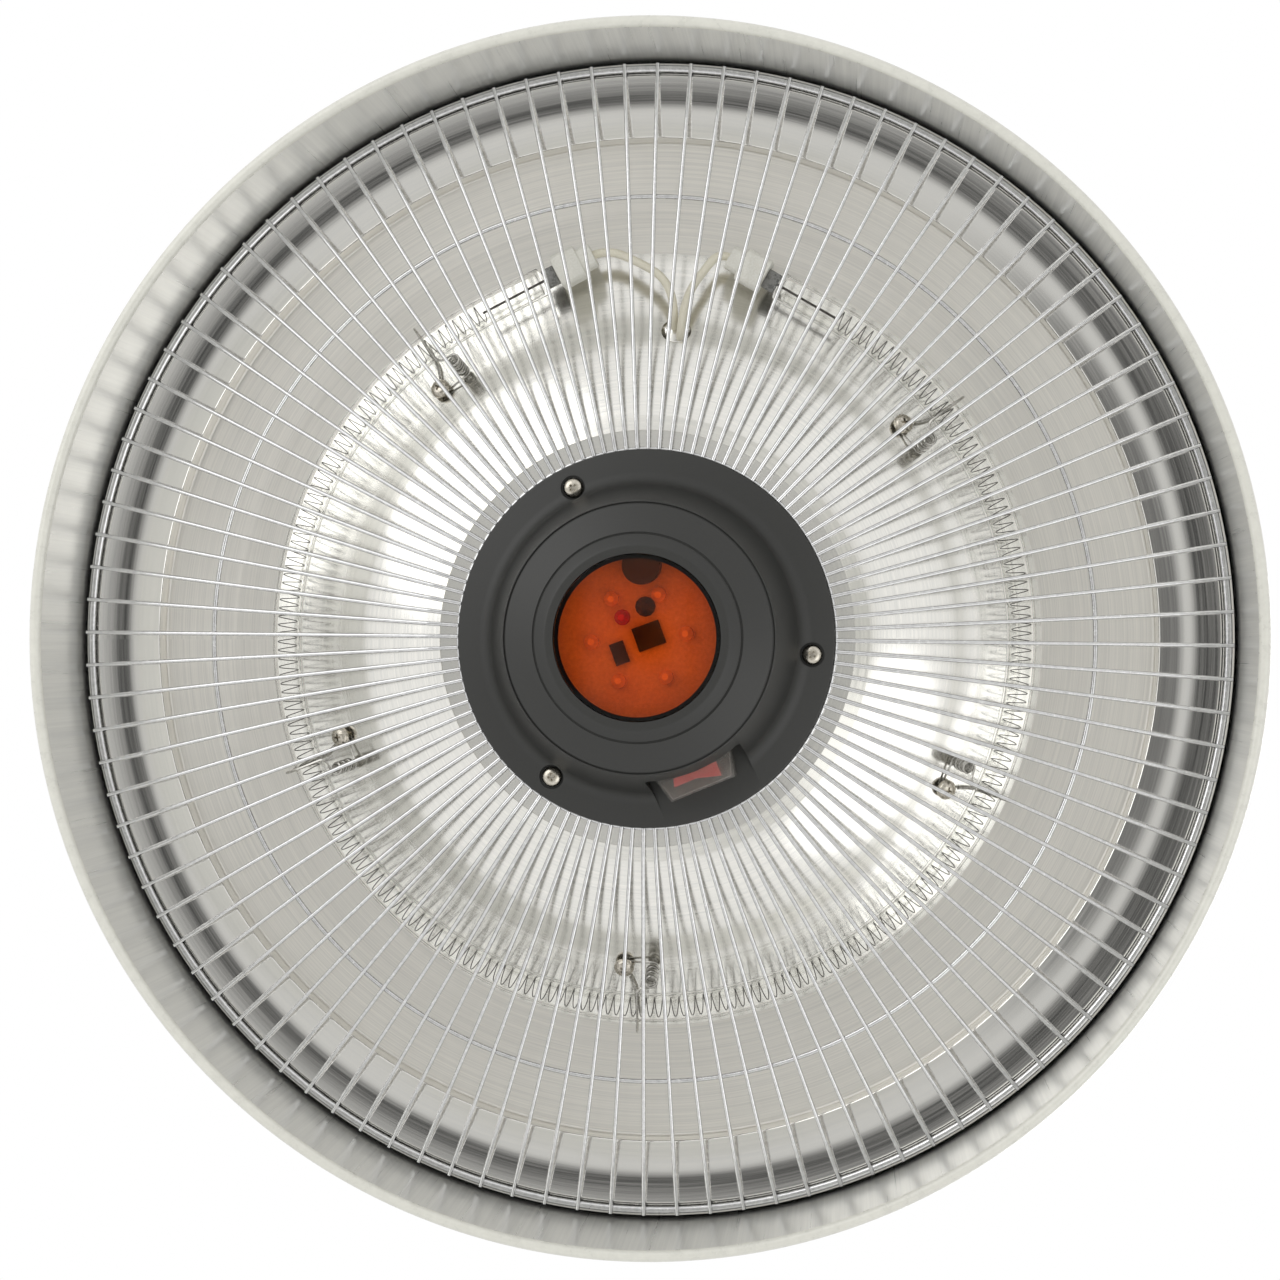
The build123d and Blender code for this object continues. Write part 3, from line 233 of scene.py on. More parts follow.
QUARTZ = Finish("clear_quartz", "quartz", "fefefd", "fcfcfb", roughness=0.02, spread=0.01, scale=90.0, transmission=1.0,
                ior=1.09)
COIL_METAL = Finish("heating_wire", "filament", "605c58", "403c39", metallic=0.3, roughness=0.5)
PINCH_QUARTZ = Finish("pinched_quartz", "pinch", "969694", "70706e", metallic=0.3, roughness=0.3, scale=700.0,
                      relief=0.1)
CERAMIC = Finish("white_ceramic", "ceramic", "eeede6", "e2e0d6", roughness=0.62, scale=1500.0, relief=0.12)
SLEEVE = Finish("cream_sleeve", "lead_sleeve", "f0ecdc", "e2dcc8", roughness=0.6, scale=2600.0, relief=0.35)
SPRING = Finish("spring_wire", "spring_steel", "c4c2bc", "a09e98", metallic=1.0, roughness=0.24)
SCREW = Finish("nickel_screw", "fastener", "d6d0c4", "b0aa9e", metallic=1.0, roughness=0.24, scale=900.0, relief=0.05)
STEEL = Finish("zinc_steel", "hanger", "bebebc", "a0a0a0", metallic=1.0, roughness=0.35, scale=500.0, relief=0.08)
HUB_BLACK = Finish("satin_black", "hub_plastic", "323230", "2a2a28", roughness=0.46, spread=0.05, scale=3200.0,
                   relief=0.1, detail=2.0)
LENS_ORANGE = Finish("orange_lens", "lens", "fea85c", "fa9e52", roughness=0.05, spread=0.02, scale=60.0,
                     transmission=1.0, ior=1.3)
BOARD = Finish("board_laminate", "circuit_board", "e8d6b4", "d6c09c", roughness=0.5, scale=900.0, relief=0.05)
LED_RESIN = Finish("led_resin", "led", "fadca0", "f0c88c", roughness=0.12, scale=300.0)
LED_RED = Finish("red_resin", "led_red", "d62814", "be1e10", roughness=0.12, scale=300.0)
PART_BLACK = Finish("black_moulding", "part_black", "221a16", "181412", roughness=0.42, scale=900.0, relief=0.08)
ROCKER_RED = Finish("red_rocker", "rocker_red", "d01e1a", "be1814", roughness=0.2, scale=300.0, coat=0.5)
SWITCH_BLACK = Finish("switch_moulding", "switch_black", "1e1e1e", roughness=0.4, scale=900.0, relief=0.06)
BOOT_CLEAR = Finish("clear_boot", "boot_clear", "faf6f0", "f2ece4", roughness=0.14, scale=300.0, transmission=0.95,
                    ior=1.35, relief=0.05)
BRASS = Finish("bare_brass", "tab_brass", "c8aa68", "b29454", metallic=1.0, roughness=0.35)
RUBBER = Finish("matt_rubber", "seal_rubber", "242424", roughness=0.8, scale=900.0, relief=0.12, sheen=0.1)
TERMINAL = Finish("terminal_moulding", "terminal_white", "deded6", roughness=0.45, scale=600.0)
GLAND = Finish("gland_moulding", "gland_black", "282828", roughness=0.5, scale=1200.0, relief=0.1)


def rounded(corners: Sequence[Point], radii: Sequence[float], step: float = 5.0) -> list[Point]:
    """Points of an open line of corners with tangent arcs at its inner corners.

    Args:
        corners: Radius and height of each corner.
        radii: Arc radius at each inner corner, where zero keeps it sharp.
        step: Degrees of turn between two points of an arc.

    Returns:
        The line's points, ends included.
    """
    line = [corners[0]]
    for before, corner, after, radius in zip(corners, corners[1:], corners[2:], radii):
        here = Vector(corner)
        back = (Vector(before) - here).normalized()
        ahead = (Vector(after) - here).normalized()
        turn = pi - back.angle(ahead)
        if radius <= 0 or turn < 1e-4:
            line.append(corner)
            continue
        cut = radius * tan(turn / 2)
        centre = here + (back + ahead).normalized() * (radius / cos(turn / 2))
        first = here + back * cut - centre
        side = 1 if first.cross(here + ahead * cut - centre) > 0 else -1
        count = max(2, round(degrees(turn) / step))
        for i in range(count + 1):
            spin = side * turn * i / count
            line.append((centre.x + first.x * cos(spin) - first.y * sin(spin),
                         centre.y + first.x * sin(spin) + first.y * cos(spin)))
    line.append(corners[-1])
    return line


def walled(line: Sequence[Point], wall: float) -> list[Point]:
    """Closed outline of a sheet from one face's line and a wall on its left.

    Args:
        line: The face's points.
        wall: Thickness of the sheet.

    Returns:
        The line followed by its far side, in order round the sheet.
    """
    far = []
    last = len(line) - 1
    for i, spot in enumerate(line):
        before = Vector(line[min(i, last - 1) + 1]) - Vector(line[min(i, last - 1)])
        after = Vector(line[max(i, 1)]) - Vector(line[max(i, 1) - 1])
        normals = [Vector((-way.y, way.x)).normalized() for way in (before, after)]
        middle = (normals[0] + normals[1]).normalized()
        far.append(tuple(Vector(spot) + middle * (wall / max(middle.dot(normals[0]), 0.3))))
    return [*line, *far[::-1]]


def turned(outline: Sequence[Point], steps: int = 192) -> bmesh.types.BMesh:
    """Spins a closed outline of radius and height round the heater's axis.

    Args:
        outline: Closed outline, without its first point repeated.
        steps: Facets in the whole turn.

    Returns:
        The turned solid, with its faces outwards.
    """
    shape = bmesh.new()
    corners = [shape.verts.new((r, 0.0, h)) for r, h in outline]
    edges = [shape.edges.new((a, b)) for a, b in zip(corners, corners[1:] + corners[:1])]
    bmesh.ops.spin(shape, geom=corners + edges, cent=(0, 0, 0), axis=(0, 0, 1), dvec=(0, 0, 0),
                   angle=2 * pi, steps=steps, use_merge=True, use_duplicate=False)
    bmesh.ops.remove_doubles(shape, verts=shape.verts[:], dist=1e-5)
    bmesh.ops.recalc_face_normals(shape, faces=shape.faces[:])
    return shape


def ring_wire(radius: float, height: float, diameter: float, sides: int = 14) -> bmesh.types.BMesh:
    """Ring of round wire round the heater's axis.

    Args:
        radius: Distance of the wire's centre from the axis.
        height: Height of the wire's centre.
        diameter: Diameter of the wire.
        sides: Facets round the wire.
    """
    circle = [(radius + diameter / 2 * cos(2 * pi * i / sides), height + diameter / 2 * sin(2 * pi * i / sides))
              for i in range(sides)]
    return turned(circle, 256)


def moved(shape: bmesh.types.BMesh, matrix: Matrix) -> bmesh.types.BMesh:
    """Moves a whole mesh and gives it back."""
    bmesh.ops.transform(shape, matrix=matrix, verts=shape.verts[:])
    return shape


def block(size: Sequence[float], centre: Sequence[float] = (0.0, 0.0, 0.0)) -> bmesh.types.BMesh:
    """Makes a box of a size round a centre."""
    shape = bmesh.new()
    bmesh.ops.create_cube(shape, size=1.0)
    bmesh.ops.scale(shape, vec=size, verts=shape.verts[:])
    bmesh.ops.translate(shape, vec=centre, verts=shape.verts[:])
    return shape


def rod(radius: float, length: float, segments: int) -> bmesh.types.BMesh:
    """Makes a round rod along Z, its middle at the origin."""
    shape = bmesh.new()
    bmesh.ops.create_cone(shape, cap_ends=True, segments=segments, radius1=radius, radius2=radius, depth=length)
    return shape


def rod_on_x(radius: float, low: float, high: float, segments: int) -> bmesh.types.BMesh:
    """Makes a round rod along X from one place to another."""
    place = Matrix.Translation(((low + high) / 2, 0, 0)) @ Matrix.Rotation(pi / 2, 4, "Y")
    return moved(rod(radius, high - low, segments), place)


def joined(shapes: Iterable[bmesh.types.BMesh]) -> bmesh.types.BMesh:
    """Puts several meshes, which are used up, together as one mesh of separate solids."""
    whole = bmesh.new()
    for shape in shapes:
        holder = bpy.data.meshes.new("holder")
        shape.to_mesh(holder)
        shape.free()
        whole.from_mesh(holder)
        bpy.data.meshes.remove(holder)
    return whole


def stand(shape: bmesh.types.BMesh, name: str) -> bpy.types.Object:
    """Puts a mesh, which is used up, into the scene as an object."""
    mesh = bpy.data.meshes.new(name)
    shape.to_mesh(mesh)
    shape.free()
    made = bpy.data.objects.new(name, mesh)
    bpy.context.scene.collection.objects.link(made)
    return made


def settle(shape: bmesh.types.BMesh, name: str, finishes: Sequence[Finish], replaces: Sequence[str] = (),
           sharp: float = 35.0, body: str = BODY, in_metres: bool = False) -> bpy.types.Object:
    """Makes a mesh a finished piece that rides on its body.

    Args:
        shape: The mesh, in the drawing's millimetres, which is used up.
        name: The piece's name.
        finishes: Its finishes, in the order of its faces' material numbers.
        replaces: CAD nodes that it stands for.
        sharp: Edges that turn by more degrees than this look sharp.
        body: The body that it moves with.
        in_metres: Whether the mesh is in the row frame already.

    Returns:
        The new object.
    """
    if not in_metres:
        moved(shape, TO_ROW)
    piece = stand(shape, name)
    mesh = piece.data
    for finish in finishes:
        mesh.materials.append(finish.make())
    mesh.polygons.foreach_set("use_smooth", [True] * len(mesh.polygons))
    mesh.set_sharp_from_angle(angle=radians(sharp))
    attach(piece, body)
    if replaces:
        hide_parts(*replaces)
    log.info("%s: %d faces", name, len(mesh.polygons))
    return piece


@dataclass
class Shop:
    """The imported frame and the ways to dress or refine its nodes."""

    nodes: dict[str, bpy.types.Object]

    def dress(self, finish: Finish, *names: str) -> None:
        """Gives CAD nodes that keep their shape a finish."""
        for name in names:
            mesh = self.nodes[name].data
            mesh.materials.clear()
            mesh.materials.append(finish.make())

    def refine(self, node: str, finish: Finish, edge: float = 0.0, sharp: float = 35.0,
               body: str = BODY) -> bpy.types.Object:
        """Copies a CAD node, cleans its facets and rounds its sharp edges.

        Args:
            node: The node to stand for.
            finish: Its finish.
            edge: Width in millimetres of the rounding on its edges.
            sharp: Edges that turn by more degrees than this look sharp.
            body: The body that it moves with.
        """
        shape = bmesh.new()
        shape.from_mesh(self.nodes[node].data)
        bmesh.ops.remove_doubles(shape, verts=shape.verts[:], dist=2e-6)
        bmesh.ops.dissolve_limit(shape, angle_limit=radians(0.6), verts=shape.verts[:], edges=shape.edges[:])
        if edge:
            keen = [e for e in shape.edges if len(e.link_faces) == 2 and e.calc_face_angle(0.0) > radians(38)]
            bmesh.ops.bevel(shape, geom=keen, offset=edge / 1000, offset_type="OFFSET", segments=2, profile=0.5,
                            affect="EDGES", clamp_overlap=True, material=-1)
        return settle(shape, node + "_finished", [finish], [node], sharp, body, in_metres=True)


@dataclass
class ShadeAssembly:
    """The spun shade with its rolled bead."""

    rim_radius: float = 212.5
    bead: float = 2.0
    wall: float = 1.0
    skirt_top: Point = (206.0, 57.0)
    shoulder: Point = (187.0, 82.0)
    crown: Point = (112.0, 110.0)
    top: Point = (78.0, 117.0)
    hole: float = 4.3
    fillets: tuple[float, ...] = (26.0, 26.0, 150.0, 20.0)
    bare_outward: float = 0.15
    bare_up: float = 0.3

    def build(self) -> None:
        """Spins the shade, enamelled outside and bare inside."""
        base = (self.rim_radius - self.bead + self.wall / 2, self.bead)
        line = rounded([base, self.skirt_top, self.shoulder, self.crown, self.top, (self.hole, self.top[1])],
                       self.fillets, 3.0)
        shell = turned(walled(line, self.wall), 256)
        for face in shell.faces:
            middle = face.calc_center_median()
            outward = Vector((middle.x, middle.y, 0.0)).normalized()
            inside = face.normal.dot(outward) < self.bare_outward and face.normal.z < self.bare_up
            face.material_index = 1 if inside else 0
        bead = ring_wire(self.rim_radius - self.bead, self.bead, 2 * self.bead, 20)
        settle(joined([shell, bead]), "shade", [ENAMEL, SKIRT_METAL], ["outer_shade"])


@dataclass
class PanShape:
    """The reflector's section, shared by all that sits on its slope."""

    wall: float = 0.8
    hill_height: float = 29.5
    hill_radius: float = 75.2
    upper: float = radians(14.0)
    steep: float = radians(34.0)
    lower: float = radians(10.0)
    upper_sweep: float = 104.0
    lower_sweep: float = 75.0
    step_radius: float = 177.2
    step_depth: float = 5.7
    step_run: float = 1.1
    band_radius: float = 200.0
    band_rise: float = 3.9
    band_belly: float = 1.2
    rebate_depth: float = 2.3
    rebate_width: float = 4.5
    bush_hole: float = 8.0
    ease: float = 0.3

    @property
    def upper_run(self) -> float:
        """Length between the upper sweep's end and its corner."""
        return self.upper_sweep * tan((self.steep - self.upper) / 2)

    @property
    def lower_run(self) -> float:
        """Length between the lower sweep's end and its corner."""
        return self.lower_sweep * tan((self.steep - self.lower) / 2)

    @property
    def hill(self) -> Point:
        """The corner between the upper slope and the steep slope."""
        run = self.upper_run + self.ease
        return self.hill_radius + run * cos(self.upper), self.hill_height + run * sin(self.upper)

    @property
    def foot(self) -> Point:
        """The corner between the steep slope and the lower slope."""
        run = self.upper_run + self.lower_run
        return self.hill[0] + run * cos(self.steep), self.hill[1] + run * sin(self.steep)

    def line(self) -> list[Point]:
        """Points of the reflector's bright face, from its middle hole out to its edge."""
        floor = self.foot[1] + self.lower_run * sin(self.lower)
        floor_radius = self.foot[0] + self.lower_run * cos(self.lower)
        step = floor - self.step_depth
        band = step - self.band_rise
        middle = (self.step_radius + self.step_run + self.band_radius) / 2
        corners = [
            (self.bush_hole, self.hill_height), (self.hill_radius, self.hill_height), self.hill, self.foot,
            (floor_radius + 0.5, floor), (self.step_radius, floor), (self.step_radius + self.step_run, step),
            (middle, (step + band) / 2 - self.band_belly / 2), (self.band_radius, band),
            (self.band_radius + 0.2, band + self.rebate_depth),
            (self.band_radius + self.rebate_width, band + self.rebate_depth),
        ]
        return rounded(corners, [2.5, self.upper_sweep, self.lower_sweep, 3.0, 1.0, 1.0, 90.0, 0.5, 0.5], 1.6)

    def slope_at(self, radius: float) -> Point:
        """Height and slope angle on the lower sweep at a distance from the axis."""
        run = self.lower_run
        centre = (self.foot[0] - run * cos(self.steep) + self.lower_sweep * sin(self.steep),
                  self.foot[1] - run * sin(self.steep) - self.lower_sweep * cos(self.steep))
        slope = asin((centre[0] - radius) / self.lower_sweep)
        return centre[1] + self.lower_sweep * cos(slope), slope

    def frame_at(self, angle: float, radius: float) -> Matrix:
        """Frame on the slope: X round the axis, Y down the slope, Z out of the reflector."""
        height, slope = self.slope_at(radius)
        turn = Matrix.Rotation(radians(angle), 4, "Z")
        axes = Matrix(((0, cos(slope), sin(slope), 0), (1, 0, 0, 0), (0, sin(slope), -cos(slope), 0), (0, 0, 0, 1)))
        return turn @ Matrix.Translation((radius, 0, height)) @ axes


def cross_head(radius: float, height: float, shank: float, length: float) -> bmesh.types.BMesh:
    """Pan-head screw with a cross recess, its head on the +Z side of z = 0.

    Args:
        radius: Radius of the head.
        height: Height of the head.
        shank: Radius of the shank.
        length: Length of the shank.

    Returns:
        The screw's mesh.
    """
    outline = [(0.0, height), (0.3 * radius, height), (0.62 * radius, 0.93 * height), (0.86 * radius, 0.7 * height),
               (radius, 0.34 * height), (radius, 0.06 * height), (0.96 * radius, 0.0), (shank, 0.0),
               (shank, -length), (0.0, -length)]
    screw = turned(outline, 32)
    for angle in (0.0, pi / 2):
        slot = block((1.12 * radius, 0.24 * radius, 1.5 * height))
        low = [v for v in slot.verts if v.co.z < 0]
        bmesh.ops.scale(slot, vec=(0.45, 0.7, 1.0), verts=low)
        place = Matrix.Rotation(angle, 4, "Z") @ Matrix.Translation((0, 0, 1.05 * height))
        screw = carved(screw, moved(slot, place))
    return screw


def settle_screws(pattern: bmesh.types.BMesh, places: Iterable[Matrix], name: str, node: str) -> None:
    """Repeats a screw and makes it a finished piece of separate solids.

    Args:
        pattern: The screw, which is used up.
        places: Where each copy goes.
        name: The piece's name.
        node: The CAD node that it stands for.
    """
    screws = [moved(pattern.copy(), place) for place in places]
    pattern.free()
    settle(joined(screws), name, [SCREW], [node])


def carved(shape: bmesh.types.BMesh, cutter: bmesh.types.BMesh) -> bmesh.types.BMesh:
    """Takes a cutter away from a solid and gives what is left. Both are used up."""
    objects = [stand(piece, "carving") for piece in (shape, cutter)]
    modifier = objects[0].modifiers.new("cut", "BOOLEAN")
    modifier.operation = "DIFFERENCE"
    modifier.solver = "EXACT"
    modifier.object = objects[1]
    result = bmesh.new()
    result.from_object(objects[0], bpy.context.evaluated_depsgraph_get())
    for obj in objects:
        mesh = obj.data
        bpy.data.objects.remove(obj)
        bpy.data.meshes.remove(mesh)
    return result


@dataclass
class ReflectorAssembly:
    """The spun reflector with its lead hole."""

    shape: PanShape
    hole_radius: float = 5.3
    hole_angle: float = 274.8
    hole_at: float = 109.4
    hole_depth: float = 8.0

    def build(self) -> None:
        """Spins the reflector and cuts the hole for the lamp's leads."""
        pan = turned(walled(self.shape.line(), self.shape.wall), 256)
        cutter = rod(self.hole_radius, self.hole_depth, 40)
        pan = carved(pan, moved(cutter, self.shape.frame_at(self.hole_angle, self.hole_at)))
        flat = self.shape.foot[0] + self.shape.lower_run
        for face in pan.faces:
            middle = face.calc_center_median()
            reach = hypot(middle.x, middle.y)
            face.material_index = 2 if reach > self.shape.step_radius else (1 if reach > flat else 0)
        settle(pan, "reflector", [PAN_METAL, FLAT_METAL, BAND_METAL], ["reflector_pan"], sharp=28.0)


@dataclass
class GuardAssembly:
    """The wire guard: three rings and the bent radial wires welded under them."""

    count: int = 108
    phase: float = radians(0.7)
    wire: float = 1.45
    flat_height: float = 27.105
    start: float = 66.2
    bend: float = 77.0
    bend_radius: float = 14.0
    bend_steps: int = 4
    end: float = 204.05
    outer: tuple[float, float] = (202.3, 2.8)
    middle: tuple[float, float] = (156.0, 1.7)
    inner: tuple[float, float] = (66.2, 1.6)
    seat_gap: float = 0.05
    weld: float = 0.02

    def slope(self) -> float:
        """Rise over run of the wires' outer stretch."""
        outer_height = self.rebate() - self.outer[1] / 2 - self.seat_gap
        reach = (self.outer[1] + self.wire) / 2 + self.weld
        run = self.outer[0] - self.bend
        rise = (outer_height - self.flat_height - reach) / run
        for _ in range(3):
            rise = (outer_height - self.flat_height - reach * sqrt(1 + rise * rise)) / run
        return rise

    def rebate(self) -> float:
        """Height of the reflector's rebate that the outer ring sits under."""
        return PanShape().line()[-1][1]

    def ring_height(self, radius: float, diameter: float) -> float:
        """Height of a ring that lies on the sloping stretch of the wires."""
        reach = ((diameter + self.wire) / 2 + self.weld) * sqrt(1 + self.slope() ** 2)
        return self.flat_height + (radius - self.bend) * self.slope() + reach

    def build(self) -> None:
        """Makes the rings and the radial wires."""
        inner_height = self.flat_height + (self.inner[1] + self.wire) / 2 + self.weld
        for name, (radius, diameter), height in (("outer_ring", self.outer, self.ring_height(*self.outer)),
                                                 ("middle_ring", self.middle, self.ring_height(*self.middle)),
                                                 ("inner_ring", self.inner, inner_height)):
            settle(ring_wire(radius, height, diameter), name, [WIRE_METAL], ["guard_" + name], sharp=60.0)
        settle(self.radial_wires(), "radial_wires", [WIRE_METAL], ["guard_radial_wires"], sharp=60.0)

    def radial_wires(self) -> bmesh.types.BMesh:
        """One wire extruded along its flat, its bend and its slope, then repeated round the axis."""
        wires = bmesh.new()
        profile = bmesh.ops.create_circle(wires, cap_ends=True, segments=8, radius=self.wire / 2)["verts"]
        bmesh.ops.rotate(wires, verts=profile, cent=(0, 0, 0), matrix=Matrix.Rotation(pi / 2, 3, "Y"))
        bmesh.ops.translate(wires, verts=profile, vec=(self.start, 0, self.flat_height))
        lean = -atan2(self.slope(), 1.0)
        cut = self.bend_radius * tan(-lean / 2)
        face = self.extend(wires, wires.faces[:], (self.bend - cut - self.start, 0, 0))
        for _ in range(self.bend_steps):
            face = self.extend(wires, face, (0, 0, 0))
            verts = list({v for f in face for v in f.verts})
            bmesh.ops.rotate(wires, verts=verts, cent=(self.bend - cut, 0, self.flat_height + self.bend_radius),
                             matrix=Matrix.Rotation(lean / self.bend_steps, 3, "Y"))
        run = self.end - self.bend - cut
        self.extend(wires, face, (run, 0, -tan(lean) * run))
        bmesh.ops.recalc_face_normals(wires, faces=wires.faces[:])
        bmesh.ops.rotate(wires, verts=wires.verts[:], cent=(0, 0, 0), matrix=Matrix.Rotation(self.phase, 3, "Z"))
        bmesh.ops.spin(wires, geom=wires.verts[:] + wires.edges[:] + wires.faces[:], cent=(0, 0, 0),
                       axis=(0, 0, 1), angle=2 * pi * (self.count - 1) / self.count, steps=self.count - 1,
                       use_duplicate=True, use_merge=False)
        return wires

    @staticmethod
    def extend(shape: bmesh.types.BMesh, faces: list, way: Sequence[float]) -> list:
        """Extrudes an end cap, moves it along a way and gives the new end cap."""
        made = bmesh.ops.extrude_face_region(shape, geom=faces)["geom"]
        verts = [g for g in made if isinstance(g, bmesh.types.BMVert)]
        bmesh.ops.translate(shape, verts=verts, vec=way)
        bmesh.ops.delete(shape, geom=[f for f in faces if f.is_valid], context="FACES_ONLY")
        return [g for g in made if isinstance(g, bmesh.types.BMFace)]


LEFT_LEAD: Route = (
    (-22.03, -135.41, 45.0), (-15.8, -138.61, 45.0), (-2.5, -132.6, 44.3), (4.6, -127.9, 43.2),
    (7.9, -121.4, 41.6), (8.6, -115.2, 41.3), (8.3, -110.6, 45.4), (7.4, -106.8, 53.0), (5.0, -94.0, 64.0),
    (0.0, -62.0, 76.0), (-3.4, -34.0, 92.0), (-3.8, -26.2, 108.0), (-4.2, -26.8, 119.0), (-6.2, -30.4, 126.2),
    (-9.0, -35.5, 123.0), (-9.0, -43.5, 123.0),
)
RIGHT_LEAD: Route = (
    (29.78, -133.91, 45.0), (24.61, -136.96, 45.0), (18.8, -129.9, 44.0), (14.6, -123.8, 42.6),
    (12.4, -117.0, 40.6), (11.4, -111.0, 40.2), (10.6, -106.4, 43.9), (10.0, -102.6, 51.0), (9.4, -90.0, 61.5),
    (8.0, -58.0, 74.0), (4.6, -32.0, 91.0), (3.8, -26.0, 108.0), (4.2, -26.9, 119.0), (6.2, -30.5, 126.2),
    (9.0, -35.5, 123.0), (9.0, -43.5, 123.0),
)


@dataclass
class LampAssembly:
    """The ring lamp: quartz tube, filament, pinches, caps and leads."""

    shop: Shop
    radius: float = 130.5
    height: float = 45.0
    tube: float = 5.2
    wall: float = 1.0
    start: float = radians(300.5)
    sweep: float = radians(302.3)
    straight: float = 24.6
    coil: float = 3.4
    coil_wire: float = 0.34
    pitch: float = 2.95
    tail: float = 0.45
    lead: float = 1.5

    def on_ring(self, across: float, up: float, along: float) -> Vector:
        """Point near the tube's centre line.

        Args:
            across: Distance outwards from the centre line.
            up: Distance above the centre line.
            along: Distance along the line from the start of the curved stretch.

        Returns:
            The point in the drawing.
        """
        length = self.radius * self.sweep
        over = min(max(along, 0.0), length)
        angle = self.start + over / self.radius
        spot = Vector(((self.radius + across) * cos(angle), (self.radius + across) * sin(angle), self.height + up))
        return spot + Vector((-sin(angle), cos(angle), 0.0)) * (along - over)

    def bent(self, shape: bmesh.types.BMesh) -> bmesh.types.BMesh:
        """Bends a mesh that lies along X, with Y across and Z up, round the lamp's ring."""
        for vert in shape.verts:
            vert.co = self.on_ring(-vert.co.y, vert.co.z, vert.co.x)
        return shape

    def shell(self, radius: float, inset: float, outwards: bool) -> bmesh.types.BMesh:
        """Closed tube along the lamp with rounded shoulders at its ends.

        Args:
            radius: Radius of the tube's surface.
            inset: How far its ends stop short of the tube's ends.
            outwards: Whether its faces point away from the centre line.

        Returns:
            The tube's mesh.
        """
        length = self.radius * self.sweep
        tube = rod_on_x(radius, -self.straight + inset, length + self.straight - inset, 28)
        for cap in [f for f in tube.faces if len(f.verts) > 4]:
            made = cap
            side = 1 if cap.calc_center_median().x > 0 else -1
            for share, step in ((0.92, 0.9), (0.72, 0.8), (0.4, 0.4)):
                inner = bmesh.ops.extrude_discrete_faces(tube, faces=[made])["faces"][0]
                centre = inner.calc_center_median()
                bmesh.ops.scale(tube, vec=(1, share, share), verts=inner.verts[:],
                                space=Matrix.Translation(-centre))
                bmesh.ops.translate(tube, vec=(side * step * 0.4, 0, 0), verts=inner.verts[:])
                made = inner
        rails = [e for e in tube.edges if abs(e.verts[0].co.x - e.verts[1].co.x) > 100]
        bmesh.ops.subdivide_edges(tube, edges=rails, cuts=190, use_grid_fill=False)
        bmesh.ops.remove_doubles(tube, verts=tube.verts[:], dist=1e-4)
        bmesh.ops.recalc_face_normals(tube, faces=tube.faces[:])
        if not outwards:
            bmesh.ops.reverse_faces(tube, faces=tube.faces[:])
        return self.bent(tube)

    def filament(self) -> bmesh.types.BMesh:
        """The wound coil, with a straight tail at each end that runs to its pinch."""
        length = self.radius * self.sweep
        turns = round(length / self.pitch)
        coil = bmesh.new()
        section = bmesh.ops.create_circle(coil, cap_ends=False, segments=5, radius=self.coil_wire / 2)["verts"]
        for axis in "YZ":
            bmesh.ops.rotate(coil, verts=section, cent=(0, 0, 0), matrix=Matrix.Rotation(pi / 2, 3, axis))
        bmesh.ops.translate(coil, verts=section, vec=(0, 0, self.coil))
        steps = turns * 12
        bmesh.ops.spin(coil, geom=coil.verts[:] + coil.edges[:], cent=(0, 0, 0), axis=(1, 0, 0),
                       dvec=(length / steps, 0, 0), angle=2 * pi * turns, steps=steps, use_duplicate=False)
        bmesh.ops.remove_doubles(coil, verts=coil.verts[:], dist=1e-5)
        for low, high in ((-self.straight - 1.0, 0.3), (length - 0.3, length + self.straight + 1.0)):
            coil = joined([coil, rod_on_x(self.tail, low, high, 8)])
        bmesh.ops.recalc_face_normals(coil, faces=coil.faces[:])
        return self.bent(coil)

    def lead_curve(self, name: str, points: Route, node: str) -> None:
        """Makes a sleeved lead on one smooth line.

        Args:
            name: The piece's name.
            points: Its route, in the drawing.
            node: The CAD node that it stands for.
        """
        curve = bpy.data.curves.new(name, "CURVE")
        curve.dimensions = "3D"
        line = curve.splines.new("NURBS")
        line.points.add(len(points) - 1)
        for spot, point in zip(points, line.points):
            point.co = (*(TO_ROW @ Vector(spot)), 1.0)
        line.order_u = 3
        line.use_endpoint_u = True
        line.resolution_u = 10
        curve.bevel_depth = self.lead / 1000
        curve.bevel_resolution = 5
        curve.use_fill_caps = True
        curve.materials.append(SLEEVE.make())
        piece = bpy.data.objects.new(name, curve)
        bpy.context.scene.collection.objects.link(piece)
        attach(piece, BODY)
        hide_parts(node)

    def build(self) -> None:
        """Makes the whole lamp."""
        glass = joined([self.shell(self.tube, 1.0, True), self.shell(self.tube - self.wall, 2.6, False)])
        settle(glass, "lamp_tube", [QUARTZ], ["quartz_tube"], sharp=60.0)
        settle(self.filament(), "lamp_filament", [COIL_METAL], ["filament"], sharp=80.0)
        self.shop.refine("tube_pinches", PINCH_QUARTZ, 0.5)
        self.shop.refine("lamp_cap_left", CERAMIC, 0.45)
        self.shop.refine("lamp_cap_right", CERAMIC, 0.45)
        self.lead_curve("left_lead", LEFT_LEAD, "lamp_lead_left")
        self.lead_curve("right_lead", RIGHT_LEAD, "lamp_lead_right")


